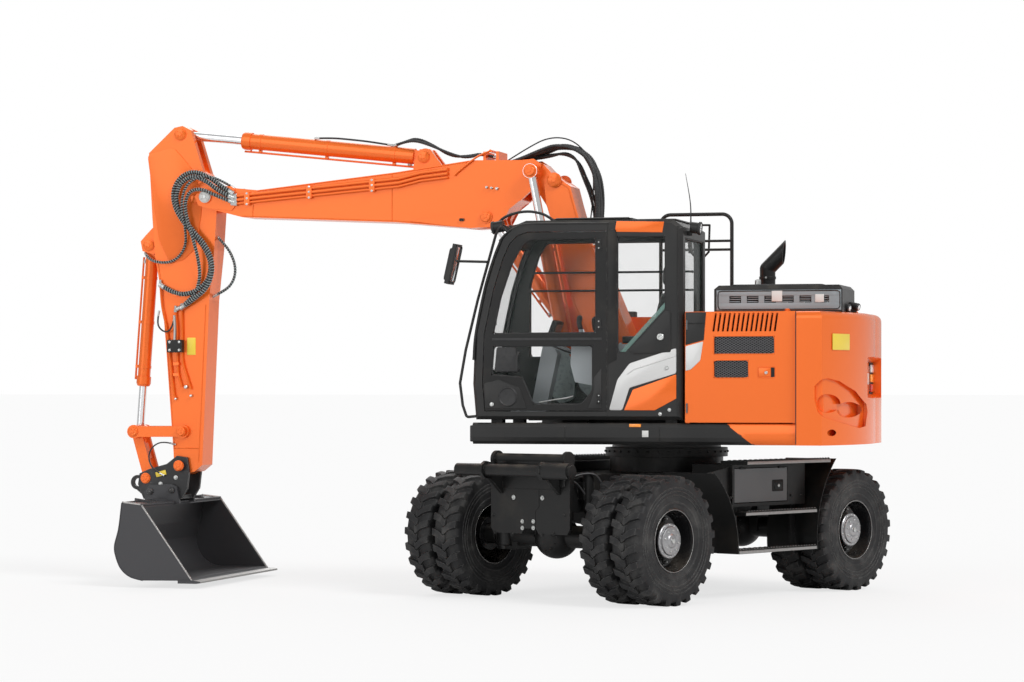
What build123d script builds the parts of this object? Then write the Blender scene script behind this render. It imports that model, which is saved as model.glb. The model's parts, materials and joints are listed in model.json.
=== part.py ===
"""Wheeled excavator with a two-piece boom, about 16 tonnes. Millimetres.

The upper structure, boom and bucket are drawn in the upper's own frame: slewing axis at x = y = 0, ground at
z = 0, +X ahead of the cab, +Y left. The undercarriage is drawn in its travel frame, which stands turned by
PARK_TURN under the upper. write() sets both in the part's frame.
"""

import os
from math import cos, hypot, pi, sin

from build123d import *

os.makedirs("parts", exist_ok=True)

# ---------------------------------------------------------------- placing
PARK_TURN = 64.0  # degrees that the undercarriage stands turned to the left
SLEW_X = -1629.0  # slewing axis in the part's frame
SLEW_Y = -180.0

# ---------------------------------------------------------------- fits
PIN_FIT = 0.05  # radial clearance of a pin in its bore
ROD_FIT = 0.3  # radial clearance of a rod in its barrel
SIDE_GAP = 6.0  # side clearance between the cheeks of a joint
HINGE_GAP = 0.3  # at the hinged edge of a door or lid
SHUT_GAP = 6.0  # at its other edges

# ---------------------------------------------------------------- wheels and axles (travel frame)
TYRE_R, TYRE_W = 537.5, 276.0
TREAD_DEPTH, LUGS, LUG_SHARE = 27.0, 17, 0.29  # lugs a side; half a lug's share of the pitch
LUG_SLOPE = 0.2  # how far a flank leans, as a share of the pitch
RIM_R, RIM_W = 268.0, 236.0
TWIN_INNER_Y, TWIN_OUTER_Y = 817.0, 1137.0
FRONT_X, REAR_X = 1500.0, -1100.0
HUB_R, HUB_OUT = 150.0, 1196.0
SPINDLE_R = 62.0
KINGPIN_Y, KINGPIN_R = 560.0, 35.0
KNUCKLE_R, KNUCKLE_H = 92.0, 176.0
AXLE_R = 95.0

# ---------------------------------------------------------------- chassis
FRAME_W, FRAME_LOW, FRAME_TOP = 560.0, 640.0, 1060.0
AXLE_SEAT = 745.0  # underside of the frame over the axles
DIFF_R = 190.0
WING_Y = 640.0  # half width of the frame's middle plate
FRAME_REAR_X, FRAME_FRONT_X = -1480.0, 1760.0
TOW_REACH, TOW_LOW, TOW_PLATE, TOW_R = 130.0, 780.0, 40.0, 26.0
PLATE_X, PLATE_THICK, PLATE_HALF, PLATE_LOW, PLATE_TOP = 1820.0, 30.0, 435.0, 570.0, 1080.0
NOTCH_HALF, EAR_Z, EAR_R = 95.0, 1190.0, 72.0
TUBE_X, TUBE_Z, TUBE_R, TUBE_HALF = 2050.0, 1105.0, 52.0, 630.0
LOCK_Y, LOCK_R = 345.0, 50.0  # axle lock cylinders beside the frame
TOWER_R, RING_R = 500.0, 540.0
RING_LOW, RING_TOP = 1190.0, 1268.0
TYRE_CLEAR = 12.5  # from the rear tyres' front to what stands before them
TYRE_FRONT_X = REAR_X + TYRE_R
BOX_Y, BOX_FRONT_X, BOX_REAR_X = 1100.0, 500.0, TYRE_FRONT_X + TYRE_CLEAR
BOX_LOW, BOX_TOP, BOX_WALL = 780.0, 1140.0, 6.0
BOX_DEPTH = 430.0
LID_REAR_X, LID_FRONT_X, LID_RIM = -290.0, 470.0, 30.0
STEP_REAR_X, STEP_Y, TOOTH_PITCH = BOX_REAR_X + 10, 1240.0, 40
STEP_LEG_LOW, STEP_LEG_HALF = 390.0, 30.0
GUARD = 8.0  # thickness of the mudguards

# ---------------------------------------------------------------- upper structure
HALF_W = 1220.0
DECK_LOW, FLOOR_TOP, DECK_TOP = 1311.0, 1401.0, 1494.0
BODY_FRONT_X, BODY_REAR_X, BODY_TOP = -420.0, -1360.0, 2430.0
TAIL_X = -1850.0
TANK_FRONT_X, TANK_LEFT_Y = 740.0, -450.0
SHEET = 30.0  # thickness of doors and body panels
SKIRT_FRONT_X = 1438.0
TAIL_HALF = HALF_W + 25.0
TAIL_CORNER_X = -1580.0  # where the counterweight's curve starts
TAIL_ROUND = 60.0
TAIL_FLANK = (-1765.0, 800.0)  # a point of its curve, x and half width

# ---------------------------------------------------------------- cab
CAB_RIGHT, CAB_LEFT = 225.0, 1220.0
CAB_FLOOR = 1520.0
CAB_REAR_X = -398.0
DOOR_REAR_X = 258.0
CAB_WALL = 45.0
GLASS, GLASS_INSET = 6.0, 16.0
HATCH_TOP = 3238.0
CAB_SIDE = [
    (CAB_REAR_X, CAB_FLOOR), (1411, CAB_FLOOR), (1438, 1825), (1420, 2262), (1338, 2646), (1257, 2908),
    (1185, 3081), (1094, 3167), (968, 3217), (-310, 3211), (CAB_REAR_X, 3145),
]

# ---------------------------------------------------------------- boom and arm pins (x, z), upper frame
BOOM_Y = -110.0  # the boom's middle plane
FOOT = (305.0, 1931.0)
LIFT_BASE = (775.0, 1600.0)
HINGE = (1200.0, 3719.0)
FOLD_BASE = (930.0, 2380.0)
FOLD_EYE = (1635.0, 3324.0)
STICK_BASE = (2246.0, 3880.0)
STICK_EYE = (4581.0, 4133.0)
ARM_PIN = (4315.0, 3548.0)
TIP_BASE = (4903.0, 3113.0)
ROCKER_PIN = (4551.0, 1389.0)
LINK_PIN = (5032.0, 1387.0)
BUCKET_PIN = (4570.0, 1075.0)
CROWD_PIN = (4908.0, 957.0)
BOOM_HALF, ARM_HALF, CHEEK, DOUBLER = 172.0, 130.0, 36.0, 12.0
PIN_R = 45.0
LIFT_Y = 255.0  # the lift cylinders stand this far from the boom's middle

# name: base pin, rod pin, barrel radius, rod radius, half width of the eyes, stroke in
CYLINDERS = {
    "lift": (LIFT_BASE, HINGE, 62.0, 38.0, 43.0, 460.0),
    "fold": (FOLD_BASE, FOLD_EYE, 80.0, 42.0, 45.0, 120.0),
    "stick": (STICK_BASE, STICK_EYE, 72.0, 40.0, 45.0, 475.0),
    "tip": (TIP_BASE, LINK_PIN, 58.0, 36.0, 45.0, 340.0),
}

UPPER = Location((SLEW_X, SLEW_Y, 0))
TRAVEL = Location((SLEW_X, SLEW_Y, 0), (0, 0, PARK_TURN))


# ---------------------------------------------------------------- drawing helpers
def write(piece, label, place=UPPER):
    """Set a finished piece in the part's frame and write it as one STEP file."""
    placed = piece.part.moved(place)
    placed.label = label
    export_step(placed, f"parts/{label}.step")


def plate(points, y_from, y_to, mode=Mode.ADD):
    """A closed outline of (x, z) points, solid from y_from to y_to."""
    with BuildSketch(Plane.XZ.offset(-y_to)) as face:
        with BuildLine():
            Polyline(*points, close=True)
        make_face()
    extrude(face.sketch, amount=y_to - y_from, mode=mode)


def disc(centre, radius, y_from, y_to, mode=Mode.ADD):
    """A round pin, boss or bore along Y at an (x, z) point."""
    with BuildSketch(Plane.XZ.offset(-y_to)) as face:
        with Locations(centre):
            Circle(radius)
    extrude(face.sketch, amount=y_to - y_from, mode=mode)


def block(x_from, x_to, y_from, y_to, z_from, z_to, mode=Mode.ADD):
    """A box between two corners."""
    with Locations(((x_from + x_to) / 2, (y_from + y_to) / 2, (z_from + z_to) / 2)):
        Box(x_to - x_from, y_to - y_from, z_to - z_from, mode=mode)


def bar(start, end, radius, mode=Mode.ADD):
    """A round bar from one point to another."""
    run = Vector(*end) - Vector(*start)
    with BuildSketch(Plane(origin=start, z_dir=run)) as face:
        Circle(radius)
    extrude(face.sketch, amount=run.length, mode=mode)


def tube_along(points, bend, radius):
    """A bent round tube of straight runs and equal bends."""
    with BuildLine() as path:
        FilletPolyline(*points, radius=bend)
    with BuildSketch(Plane(origin=path.line @ 0, z_dir=path.line % 0)) as face:
        Circle(radius)
    sweep(face.sketch, path=path.line)


def stretch(centre, towards, distance):
    """The point at a distance from one (x, z) point on the line to another."""
    run = hypot(towards[0] - centre[0], towards[1] - centre[1])
    return (
        centre[0] + (towards[0] - centre[0]) * distance / run,
        centre[1] + (towards[1] - centre[1]) * distance / run,
    )


# ---------------------------------------------------------------- wheels
def turned(profile, x, z=TYRE_R):
    """A body of revolution about the wheel's axle; profile points are (y, radius)."""
    with BuildSketch(Plane.YZ.offset(x)) as face:
        with BuildLine():
            Polyline(*[(y, z + r) for y, r in profile], close=True)
        make_face()
    revolve(face.sketch, axis=Axis((x, 0, z), (0, 1, 0)))


ROOT_R = TYRE_R - TREAD_DEPTH


def carcass_profile(middle):
    """Cross-section of one tyre without its lugs: bead, bulged wall, shoulder and root of the tread."""
    half = TYRE_W / 2
    rows = [  # share of the half width, radius
        ((RIM_W - 16) / TYRE_W, RIM_R), (1.0, RIM_R + 125), (0.99, ROOT_R - 50), (0.9, ROOT_R),
    ]
    left = [(middle + half * share, r) for share, r in rows]
    right = [(middle - half * share, r) for share, r in reversed(rows)]
    return left + right


def lug_ring(x, y_from, y_to, turn):
    """One side's lugs as a ring with teeth; a tooth's two lowest corners stand on the ground."""
    pitch = 2 * pi / LUGS
    tip = LUG_SHARE * pitch
    foot = tip + LUG_SLOPE * pitch / 2
    tip_r = TYRE_R / max(cos(tip), cos(pitch / 2 - tip))
    corners = [(-foot, ROOT_R - 2), (-tip, tip_r), (tip, tip_r), (foot, ROOT_R - 2)]
    with BuildSketch(Plane.XZ.offset(-y_to)) as ring:
        with BuildLine():
            Polyline(*[(x + r * sin((lug + turn) * pitch + a), TYRE_R - r * cos((lug + turn) * pitch + a))
                       for lug in range(LUGS) for a, r in corners], close=True)
        make_face()
        with Locations((x, TYRE_R)):
            Circle(ROOT_R - 60, mode=Mode.SUBTRACT)
    extrude(ring.sketch, amount=y_to - y_from)


def rim_profile(side):
    """Both rims of a twin wheel, their spacer and the planetary hub, as one turned section."""
    inner, outer = TWIN_INNER_Y, TWIN_OUTER_Y
    half, skin = RIM_W / 2, 16.0
    bore = SPINDLE_R + PIN_FIT
    rows = [  # distance from the middle plane, radius
        (inner - half, RIM_R), (outer + half, RIM_R), (outer + half, RIM_R - skin), (outer + 30, 236),
        (outer - 20, 220), (outer - 40, HUB_R + 20), (outer + 10, HUB_R), (HUB_OUT, HUB_R - 12),
        (HUB_OUT, 0), (HUB_OUT - 30, 0), (HUB_OUT - 30, bore), (inner - 70, bore), (inner - 70, HUB_R - 8),
        (inner + 40, HUB_R), (outer - 75, 190), (outer - 75, RIM_R - skin), (inner - half, RIM_R - skin),
    ]
    return [(side * y, r) for y, r in rows]


WHEELS = [  # name, axle's place, side
    ("front_left", FRONT_X, 1), ("front_right", FRONT_X, -1), ("rear_left", REAR_X, 1), ("rear_right", REAR_X, -1),
]

for wheel_name, axle_x, side in WHEELS:
    with BuildPart() as tyres:
        for middle in (side * TWIN_INNER_Y, side * TWIN_OUTER_Y):
            turned(carcass_profile(middle), axle_x)
            for lug_side, turn in ((-1, 0.0), (1, 0.5)):
                y_from, y_to = sorted((middle, middle + lug_side * 0.97 * TYRE_W / 2))
                lug_ring(axle_x, y_from, y_to, turn)
    write(tyres, f"tyres_{wheel_name}", TRAVEL)

    with BuildPart() as rims:
        turned(rim_profile(side), axle_x)
    write(rims, f"rims_{wheel_name}", TRAVEL)

# ---------------------------------------------------------------- knuckles and axles
SPINDLE_IN = KINGPIN_Y + KNUCKLE_R - 20
HUB_BACK = TWIN_INNER_Y - 70
FLANGE_OUT = HUB_BACK - 0.3
YOKE_H = 30.0

for side_name, side in (("left", 1), ("right", -1)):
    with BuildPart() as knuckle:
        with Locations((FRONT_X, side * KINGPIN_Y, TYRE_R)):
            Cylinder(KNUCKLE_R, KNUCKLE_H)
            Cylinder(KINGPIN_R, KNUCKLE_H + 2 * SIDE_GAP + 2 * YOKE_H)
        low, high = sorted((side * SPINDLE_IN, side * FLANGE_OUT))
        disc((FRONT_X, TYRE_R), KNUCKLE_H / 2, low, high)
        low, high = sorted((side * SPINDLE_IN, side * (HUB_OUT - 60)))
        disc((FRONT_X, TYRE_R), SPINDLE_R, low, high)
    write(knuckle, f"knuckle_{side_name}", TRAVEL)

with BuildPart() as front_axle:
    beam_end = KINGPIN_Y - KNUCKLE_R - 25
    disc((FRONT_X, TYRE_R), AXLE_R, -beam_end, beam_end)
    for side in (-1, 1):
        for level in (-1, 1):
            yoke_z = TYRE_R + level * (KNUCKLE_H / 2 + SIDE_GAP + YOKE_H / 2)
            with BuildSketch(Plane.XY.offset(yoke_z - YOKE_H / 2)):
                with Locations((FRONT_X, side * KINGPIN_Y)):
                    Circle(85)
                with Locations((FRONT_X, side * (KINGPIN_Y - 80))):
                    Rectangle(150, 160)
                with Locations((FRONT_X, side * KINGPIN_Y)):
                    Circle(KINGPIN_R + PIN_FIT, mode=Mode.SUBTRACT)
            extrude(amount=YOKE_H)
        low, high = sorted((side * (beam_end - 60), side * beam_end))
        block(FRONT_X - 75, FRONT_X + 75, low, high, TYRE_R - 120, TYRE_R + 120)
    with Locations((FRONT_X, 0, TYRE_R)):
        Sphere(DIFF_R)
    block(FRONT_X - 110, FRONT_X + 110, -90, 90, TYRE_R, AXLE_SEAT)
write(front_axle, "front_axle", TRAVEL)

with BuildPart() as rear_axle:
    disc((REAR_X, TYRE_R), AXLE_R, -FLANGE_OUT, FLANGE_OUT)
    disc((REAR_X, TYRE_R), SPINDLE_R, -(HUB_OUT - 60), HUB_OUT - 60)
    with Locations((REAR_X, 0, TYRE_R)):
        Sphere(DIFF_R)
    for side in (-1, 1):
        low, high = sorted((side * 170, side * 260))
        block(REAR_X - 105, REAR_X + 105, low, high, TYRE_R - 40, AXLE_SEAT)
write(rear_axle, "rear_axle", TRAVEL)

with BuildPart() as drive_shaft:
    bar((FRONT_X - DIFF_R - 0.3, 0, TYRE_R), (REAR_X + DIFF_R + 0.3, 0, TYRE_R), 38)
    block(-330, 90, -150, 150, 430, FRAME_LOW)
write(drive_shaft, "drive_shaft", TRAVEL)

# ---------------------------------------------------------------- chassis
with BuildPart() as chassis_frame:
    side_outline = [
        (FRAME_REAR_X, FRAME_TOP - 90), (FRAME_REAR_X, AXLE_SEAT), (REAR_X + 190, AXLE_SEAT),
        (REAR_X + 300, FRAME_LOW), (FRONT_X - 340, FRAME_LOW), (FRONT_X - 230, AXLE_SEAT),
        (FRAME_FRONT_X, AXLE_SEAT), (FRAME_FRONT_X, FRAME_TOP - 40), (1250, FRAME_TOP), (-900, FRAME_TOP),
    ]
    plate(side_outline, -FRAME_W / 2, FRAME_W / 2)
    with Locations((0, 0, (FRAME_TOP - 60 + RING_LOW) / 2)):
        Cylinder(TOWER_R, RING_LOW - FRAME_TOP + 60)
    with BuildSketch(Plane.XY.offset(FRAME_TOP - 60)):
        with BuildLine():
            Polyline((760, 260), (430, WING_Y), (-480, WING_Y), (-760, 260), (-760, -260), (-480, -WING_Y),
                     (430, -WING_Y), (760, -260), close=True)
        make_face()
    extrude(amount=60)
    for side in (-1, 1):
        low, high = sorted((side * (FRAME_W / 2 - 5), side * LOCK_Y))
        block(FRONT_X - 60, FRONT_X + 60, low, high, 850, 1000)
        with Locations((FRONT_X, side * LOCK_Y, 930)):
            Cylinder(LOCK_R, 300)
        with Locations((FRONT_X, side * LOCK_Y, (TYRE_R + AXLE_R + 780) / 2 + HINGE_GAP)):
            Cylinder(LOCK_R - 22, 780 - TYRE_R - AXLE_R)
    block(FRAME_REAR_X - TOW_REACH, FRAME_REAR_X, -60, 60, TOW_LOW, TOW_LOW + TOW_PLATE)
    with Locations((FRAME_REAR_X - TOW_REACH + 55, 0, TOW_LOW + TOW_PLATE / 2)):
        Cylinder(TOW_R, TOW_PLATE + 2, mode=Mode.SUBTRACT)
write(chassis_frame, "chassis_frame", TRAVEL)

with BuildPart() as slew_ring:
    with Locations((0, 0, (RING_LOW + RING_TOP) / 2)):
        Cylinder(RING_R, RING_TOP - RING_LOW)
        Cylinder(RING_R - 130, RING_TOP - RING_LOW, mode=Mode.SUBTRACT)
write(slew_ring, "slew_ring", TRAVEL)

with BuildPart() as front_plate:
    with BuildSketch(Plane.YZ.offset(PLATE_X)):
        with BuildLine():
            Polyline((-PLATE_HALF, PLATE_TOP), (-PLATE_HALF, PLATE_LOW + 45), (-PLATE_HALF + 30, PLATE_LOW),
                     (-NOTCH_HALF, PLATE_LOW), (-NOTCH_HALF + 30, PLATE_LOW + 45),
                     (NOTCH_HALF - 30, PLATE_LOW + 45), (NOTCH_HALF, PLATE_LOW), (PLATE_HALF - 30, PLATE_LOW),
                     (PLATE_HALF, PLATE_LOW + 45), (PLATE_HALF, PLATE_TOP), close=True)
        make_face()
    extrude(amount=PLATE_THICK)
    for side in (-1, 1):
        low, high = sorted((side * 230, side * 262))
        plate([(FRAME_FRONT_X, 760), (PLATE_X, 650), (PLATE_X, PLATE_TOP), (FRAME_FRONT_X, 1000)], low, high)
        low, high = sorted((side * (PLATE_HALF - 62), side * (PLATE_HALF - 30)))
        plate([(PLATE_X - 60, 960), (PLATE_X, 960), (PLATE_X, EAR_Z), (PLATE_X - 60, EAR_Z)], low, high)
        disc((PLATE_X, EAR_Z), EAR_R, low, high)
    block(PLATE_X - 60, PLATE_X, -PLATE_HALF + 30, PLATE_HALF - 30, PLATE_TOP - 60, PLATE_TOP - 30)
    bar((PLATE_X, -PLATE_HALF + 31, EAR_Z), (PLATE_X, PLATE_HALF - 31, EAR_Z), EAR_R - 22)
write(front_plate, "front_plate", TRAVEL)

with BuildPart() as front_tube:
    bar((TUBE_X, -TUBE_HALF, TUBE_Z), (TUBE_X, TUBE_HALF, TUBE_Z), TUBE_R)
    bar((TUBE_X, TUBE_HALF - 310, TUBE_Z), (TUBE_X, TUBE_HALF - 20, TUBE_Z), TUBE_R + 16)
    for side in (-1, 1):
        low, high = sorted((side * 300, side * 332))
        plate([(PLATE_X + PLATE_THICK, 900), (TUBE_X - 40, TUBE_Z - 75), (TUBE_X + 30, TUBE_Z - 70),
               (TUBE_X + 75, TUBE_Z - 20), (TUBE_X + 70, TUBE_Z + 40), (TUBE_X + 10, TUBE_Z + 75),
               (TUBE_X - 60, TUBE_Z + 60), (PLATE_X + PLATE_THICK, PLATE_TOP - 5)], low, high)
write(front_tube, "front_tube", TRAVEL)

with BuildPart() as toolboxes:
    for side in (-1, 1):
        low, high = sorted((side * BOX_Y, side * (BOX_Y - BOX_DEPTH)))
        block(BOX_REAR_X, BOX_FRONT_X, low, high, BOX_LOW, BOX_TOP)
        block(BOX_REAR_X + BOX_WALL, BOX_FRONT_X - BOX_WALL, low + BOX_WALL, high - BOX_WALL, BOX_LOW + BOX_WALL,
              BOX_TOP - BOX_WALL, mode=Mode.SUBTRACT)
        low, high = sorted((side * (BOX_Y + 1), side * (BOX_Y - BOX_WALL - 1)))
        block(LID_REAR_X, LID_FRONT_X, low, high, BOX_LOW + LID_RIM, BOX_TOP - LID_RIM, mode=Mode.SUBTRACT)
        low, high = sorted((side * WING_Y, side * (BOX_Y - BOX_DEPTH)))
        block(-470, 420, low, high, FRAME_TOP - 60, FRAME_TOP)
write(toolboxes, "toolboxes", TRAVEL)

for side_name, side in (("left", 1), ("right", -1)):
    with BuildPart() as box_lid:
        low, high = sorted((side * BOX_Y, side * (BOX_Y - BOX_WALL)))
        block(LID_REAR_X + SHUT_GAP, LID_FRONT_X - HINGE_GAP, low, high, BOX_LOW + LID_RIM + SHUT_GAP,
              BOX_TOP - LID_RIM - SHUT_GAP)
    write(box_lid, f"toolbox_lid_{side_name}", TRAVEL)

TREADS = [  # top level, thickness, rear end, front end, inner edge
    (1172, 32, -740, 480, 960), (740, 30, STEP_REAR_X, 500, 1010), (420, 30, STEP_REAR_X, 595.5, 1010),
]

with BuildPart() as steps:
    for side in (-1, 1):
        for level, thick, rear, front, inner in TREADS:
            low, high = sorted((side * inner, side * STEP_Y))
            block(rear, front, low, high, level - thick, level)
            teeth = int(front - rear) // TOOTH_PITCH
            comb = [(rear + (tooth + share) * TOOTH_PITCH, level + rise) for tooth in range(teeth)
                    for share, rise in ((0.15, 0), (0.4, 10), (0.6, 10), (0.85, 0))]
            low, high = sorted((side * (STEP_Y - 12), side * STEP_Y))
            plate([(rear, level - thick)] + [(rear, level)] + comb + [(front, level), (front, level - thick)],
                  low, high)
        for place in (380, STEP_REAR_X + 70):
            low, high = sorted((side * 1010, side * 1030))
            block(place - STEP_LEG_HALF, place + STEP_LEG_HALF, low, high, STEP_LEG_LOW, BOX_LOW)
write(steps, "steps", TRAVEL)

GUARDS = [  # start, middle and end of the wheel's side of the curved plate as (x, z); way to its other side
    ((604, 392), (680, 760), (940, 1080), -1), ((BOX_REAR_X - HINGE_GAP + 0.1, 392), (BOX_REAR_X - 50, TYRE_R + 262.5), (BOX_REAR_X - 280, 1172), 1),
]

with BuildPart() as mudguards:
    for side in (-1, 1):
        low, high = sorted((side * 700, side * STEP_Y))
        for start, middle, end, way in GUARDS:
            back = way * GUARD
            with BuildSketch(Plane.XZ.offset(-high)) as sheet:
                with BuildLine():
                    ThreePointArc(start, middle, end)
                    Line(end, (end[0] + back, end[1]))
                    ThreePointArc((end[0] + back, end[1]), (middle[0] + back, middle[1]),
                                  (start[0] + back, start[1]))
                    Line((start[0] + back, start[1]), start)
                make_face()
            extrude(sheet.sketch, amount=high - low)
    for side in (-1, 1):
        low, high = sorted((side * 1060, side * 1068))
        plate([(BOX_FRONT_X, 800), (680, 800), (760, 920), (905, 1060), (BOX_FRONT_X, 1120)], low, high)
write(mudguards, "mudguards", TRAVEL)

# ---------------------------------------------------------------- upper structure
with BuildPart() as upper_frame:
    with Locations((0, 0, (RING_TOP + DECK_LOW + 40) / 2)):
        Cylinder(RING_R - 60, DECK_LOW + 40 - RING_TOP)
    block(BODY_REAR_X, 1390, -HALF_W + 60, HALF_W - 60, DECK_LOW + 40, FLOOR_TOP)
    for x, y in ((CAB_REAR_X + 120, CAB_RIGHT + 120), (CAB_REAR_X + 120, CAB_LEFT - 160), (1250, CAB_RIGHT + 120),
                 (1250, CAB_LEFT - 160)):
        block(x - 50, x + 50, y - 50, y + 50, FLOOR_TOP, CAB_FLOOR)
    for side in (-1, 1):
        low, high = sorted((BOOM_Y + side * BOOM_HALF + side * SIDE_GAP,
                            BOOM_Y + side * (BOOM_HALF + SIDE_GAP + 28)))
        plate([(-410, FLOOR_TOP), (960, FLOOR_TOP), (875, 1590), (845, 1655), (790, 1690), (690, 1690), (430, 1980),
               (380, 2030), (230, 2030), (150, 1960), (-300, DECK_TOP), (-410, DECK_TOP)], low, high)
        low, high = sorted((BOOM_Y + side * (LIFT_Y + 49), BOOM_Y + side * (LIFT_Y + 70)))
        plate([(640, FLOOR_TOP), (930, FLOOR_TOP), (875, 1590), (845, 1655), (790, 1690), (740, 1690), (690, 1640)],
              low, high)
        low, high = sorted((BOOM_Y + side * BOOM_HALF, BOOM_Y + side * (LIFT_Y + 70)))
        disc(LIFT_BASE, PIN_R, low, high)
    disc(FOOT, PIN_R + 10, BOOM_Y - BOOM_HALF - 30, BOOM_Y + BOOM_HALF + 30)
write(upper_frame, "upper_frame")

with BuildPart() as side_skirts:
    for side in (-1, 1):
        with BuildSketch(Plane.YZ.offset(BODY_REAR_X)):
            with BuildLine():
                Polyline(*[(side * (HALF_W + y), z) for y, z in (
                    (-60, DECK_LOW), (-28, DECK_LOW), (-6, DECK_LOW + 26), (0, DECK_LOW + 60),
                    (0, DECK_TOP - 34), (-12, DECK_TOP - 10), (-30, DECK_TOP), (-60, DECK_TOP))], close=True)
            make_face()
        extrude(amount=SKIRT_FRONT_X - BODY_REAR_X)
write(side_skirts, "side_skirts")

HOOD_FRONT_X, HOOD_REAR_X, HOOD_TOP, HOOD_RIGHT, HOOD_LEFT = -605.0, -1700.0, 2660.0, -560.0, 900.0
HOOD_WALL = 20.0
DOOR_INNER = HALF_W - SHEET  # the left side door lies over the bay's edges

with BuildPart() as engine_bay:
    block(BODY_REAR_X, BODY_FRONT_X, -HALF_W, DOOR_INNER, DECK_TOP, BODY_TOP)
    block(BODY_REAR_X + SHEET, BODY_FRONT_X - SHEET, -HALF_W + SHEET, DOOR_INNER + 1, DECK_TOP - 1,
          BODY_TOP - SHEET, mode=Mode.SUBTRACT)
    block(-1290, HOOD_FRONT_X - 40, HOOD_RIGHT + 40, HOOD_LEFT - 40, BODY_TOP - SHEET - 1, BODY_TOP + 1,
          mode=Mode.SUBTRACT)
write(engine_bay, "engine_bay")

LOUVRES, LOUVRE_PITCH, LOUVRE_W, LOUVRE_LEAN = 14, 40.0, 17.0, 22.0
MESHES = [  # rear, front, low, high of the openings under the louvres
    (-1181, -664, 2072, 2224), (-961, -664, 1872, 2023),
]

with BuildPart() as side_door:
    inside, outside = DOOR_INNER + HINGE_GAP, HALF_W
    block(BODY_REAR_X + SHUT_GAP, BODY_FRONT_X, inside, outside, DECK_TOP + SHUT_GAP, BODY_TOP)
    for place in range(LOUVRES):
        x = -1190 + place * LOUVRE_PITCH
        plate([(x, 2263), (x + LOUVRE_W, 2263), (x + LOUVRE_W - LOUVRE_LEAN, 2417), (x - LOUVRE_LEAN, 2417)],
              inside - 1, outside + 1, mode=Mode.SUBTRACT)
    for rear, front, low, high in MESHES:
        block(rear, front, inside - 1, outside + 1, low, high, mode=Mode.SUBTRACT)
write(side_door, "side_door")

HOOD_PLAN = [
    (HOOD_FRONT_X, HOOD_LEFT), (HOOD_REAR_X, HOOD_LEFT), (HOOD_REAR_X, 220), (-1480, HOOD_RIGHT),
    (HOOD_FRONT_X, HOOD_RIGHT),
]
VENTS, VENT_PITCH, VENT_W = 6, 150.0, 100.0

with BuildPart() as engine_hood:
    seat = BODY_TOP + HINGE_GAP
    with BuildSketch(Plane.XY.offset(seat)) as plan:
        with BuildLine():
            Polyline(*HOOD_PLAN, close=True)
        make_face()
    extrude(plan.sketch, amount=HOOD_TOP - seat)
    chamfer(faces().sort_by(Axis.Z)[-1].edges(), 34)
    with BuildSketch(Plane.XY.offset(seat - 1)) as inner_plan:
        with BuildLine():
            Polyline(*HOOD_PLAN, close=True)
        make_face()
        offset(amount=-HOOD_WALL, mode=Mode.REPLACE)
    extrude(inner_plan.sketch, amount=HOOD_TOP - HOOD_WALL - 34 - seat, mode=Mode.SUBTRACT)
    for place in range(VENTS):
        x = -1580 + place * VENT_PITCH
        plate([(x, 2510), (x + VENT_W, 2510), (x + VENT_W - 14, 2568), (x - 14, 2568)], HOOD_LEFT - HOOD_WALL - 1,
              HOOD_LEFT + 1, mode=Mode.SUBTRACT)
        if x > -1450:
            plate([(x, 2510), (x + VENT_W, 2510), (x + VENT_W - 14, 2568), (x - 14, 2568)], HOOD_RIGHT - 1,
                  HOOD_RIGHT + HOOD_WALL + 1, mode=Mode.SUBTRACT)
write(engine_hood, "engine_hood")

with BuildPart() as engine:
    block(-1290, -560, -700, 600, FLOOR_TOP, 2330)
write(engine, "engine")

with BuildPart() as radiator:
    block(-1200, -560, 760, 960, FLOOR_TOP, 2300)
write(radiator, "radiator")

EXHAUST_Y, EXHAUST_R = -700.0, 70.0
ELBOW, OUTLET = (-778.0, 2861.0), (-1060.0, 3143.0)

with BuildPart() as exhaust_stack:
    bar((ELBOW[0], EXHAUST_Y, BODY_TOP), (ELBOW[0], EXHAUST_Y, ELBOW[1]), EXHAUST_R)
    with Locations((ELBOW[0], EXHAUST_Y, ELBOW[1])):
        Sphere(EXHAUST_R)
    bar((ELBOW[0], EXHAUST_Y, ELBOW[1]), (OUTLET[0], EXHAUST_Y, OUTLET[1]), EXHAUST_R)
    plate([(-918, 2860), (-948, 3240), (-1300, 3240), (-1300, 2860)], EXHAUST_Y - 100, EXHAUST_Y + 100,
          mode=Mode.SUBTRACT)
    bar((ELBOW[0], EXHAUST_Y, ELBOW[1]), (OUTLET[0], EXHAUST_Y, OUTLET[1]), EXHAUST_R - 8, mode=Mode.SUBTRACT)
write(exhaust_stack, "exhaust_stack")


def tail_plan(inset, rise, height, mode=Mode.ADD):
    """The counterweight's outline in plan, set in by some distance, as a solid."""
    half, corner, tail = TAIL_HALF - inset, TAIL_CORNER_X, TAIL_X + inset
    flank_x, flank_y = TAIL_FLANK[0] + inset * 0.8, TAIL_FLANK[1]
    with BuildSketch(Plane.XY.offset(rise)) as plan:
        with BuildLine():
            Polyline((BODY_REAR_X, -half), (BODY_REAR_X, half), (corner, half))
            ThreePointArc((corner, half), (flank_x, flank_y), (tail, 0))
            ThreePointArc((tail, 0), (flank_x, -flank_y), (corner, -half))
            Line((corner, -half), (BODY_REAR_X, -half))
        make_face()
    extrude(plan.sketch, amount=height, mode=mode)


POCKET = [  # outline of the lamp pocket, seen from the side
    (-1520, 1805), (-1571, 1855), (-1618, 1871), (-1692, 1847), (-1785, 1763), (-1838, 1652), (-1842, 1584),
    (-1834, 1465), (-1806, 1450), (-1692, 1504), (-1592, 1548), (-1546, 1589), (-1520, 1689),
]
LAMP_HOLES = [(-1611, 1660, 78), (-1734, 1606, 66), (-1643, 1416, 28)]  # x, z, radius
POCKET_DEPTH, LAMP_DEPTH = 40.0, 95.0


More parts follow.
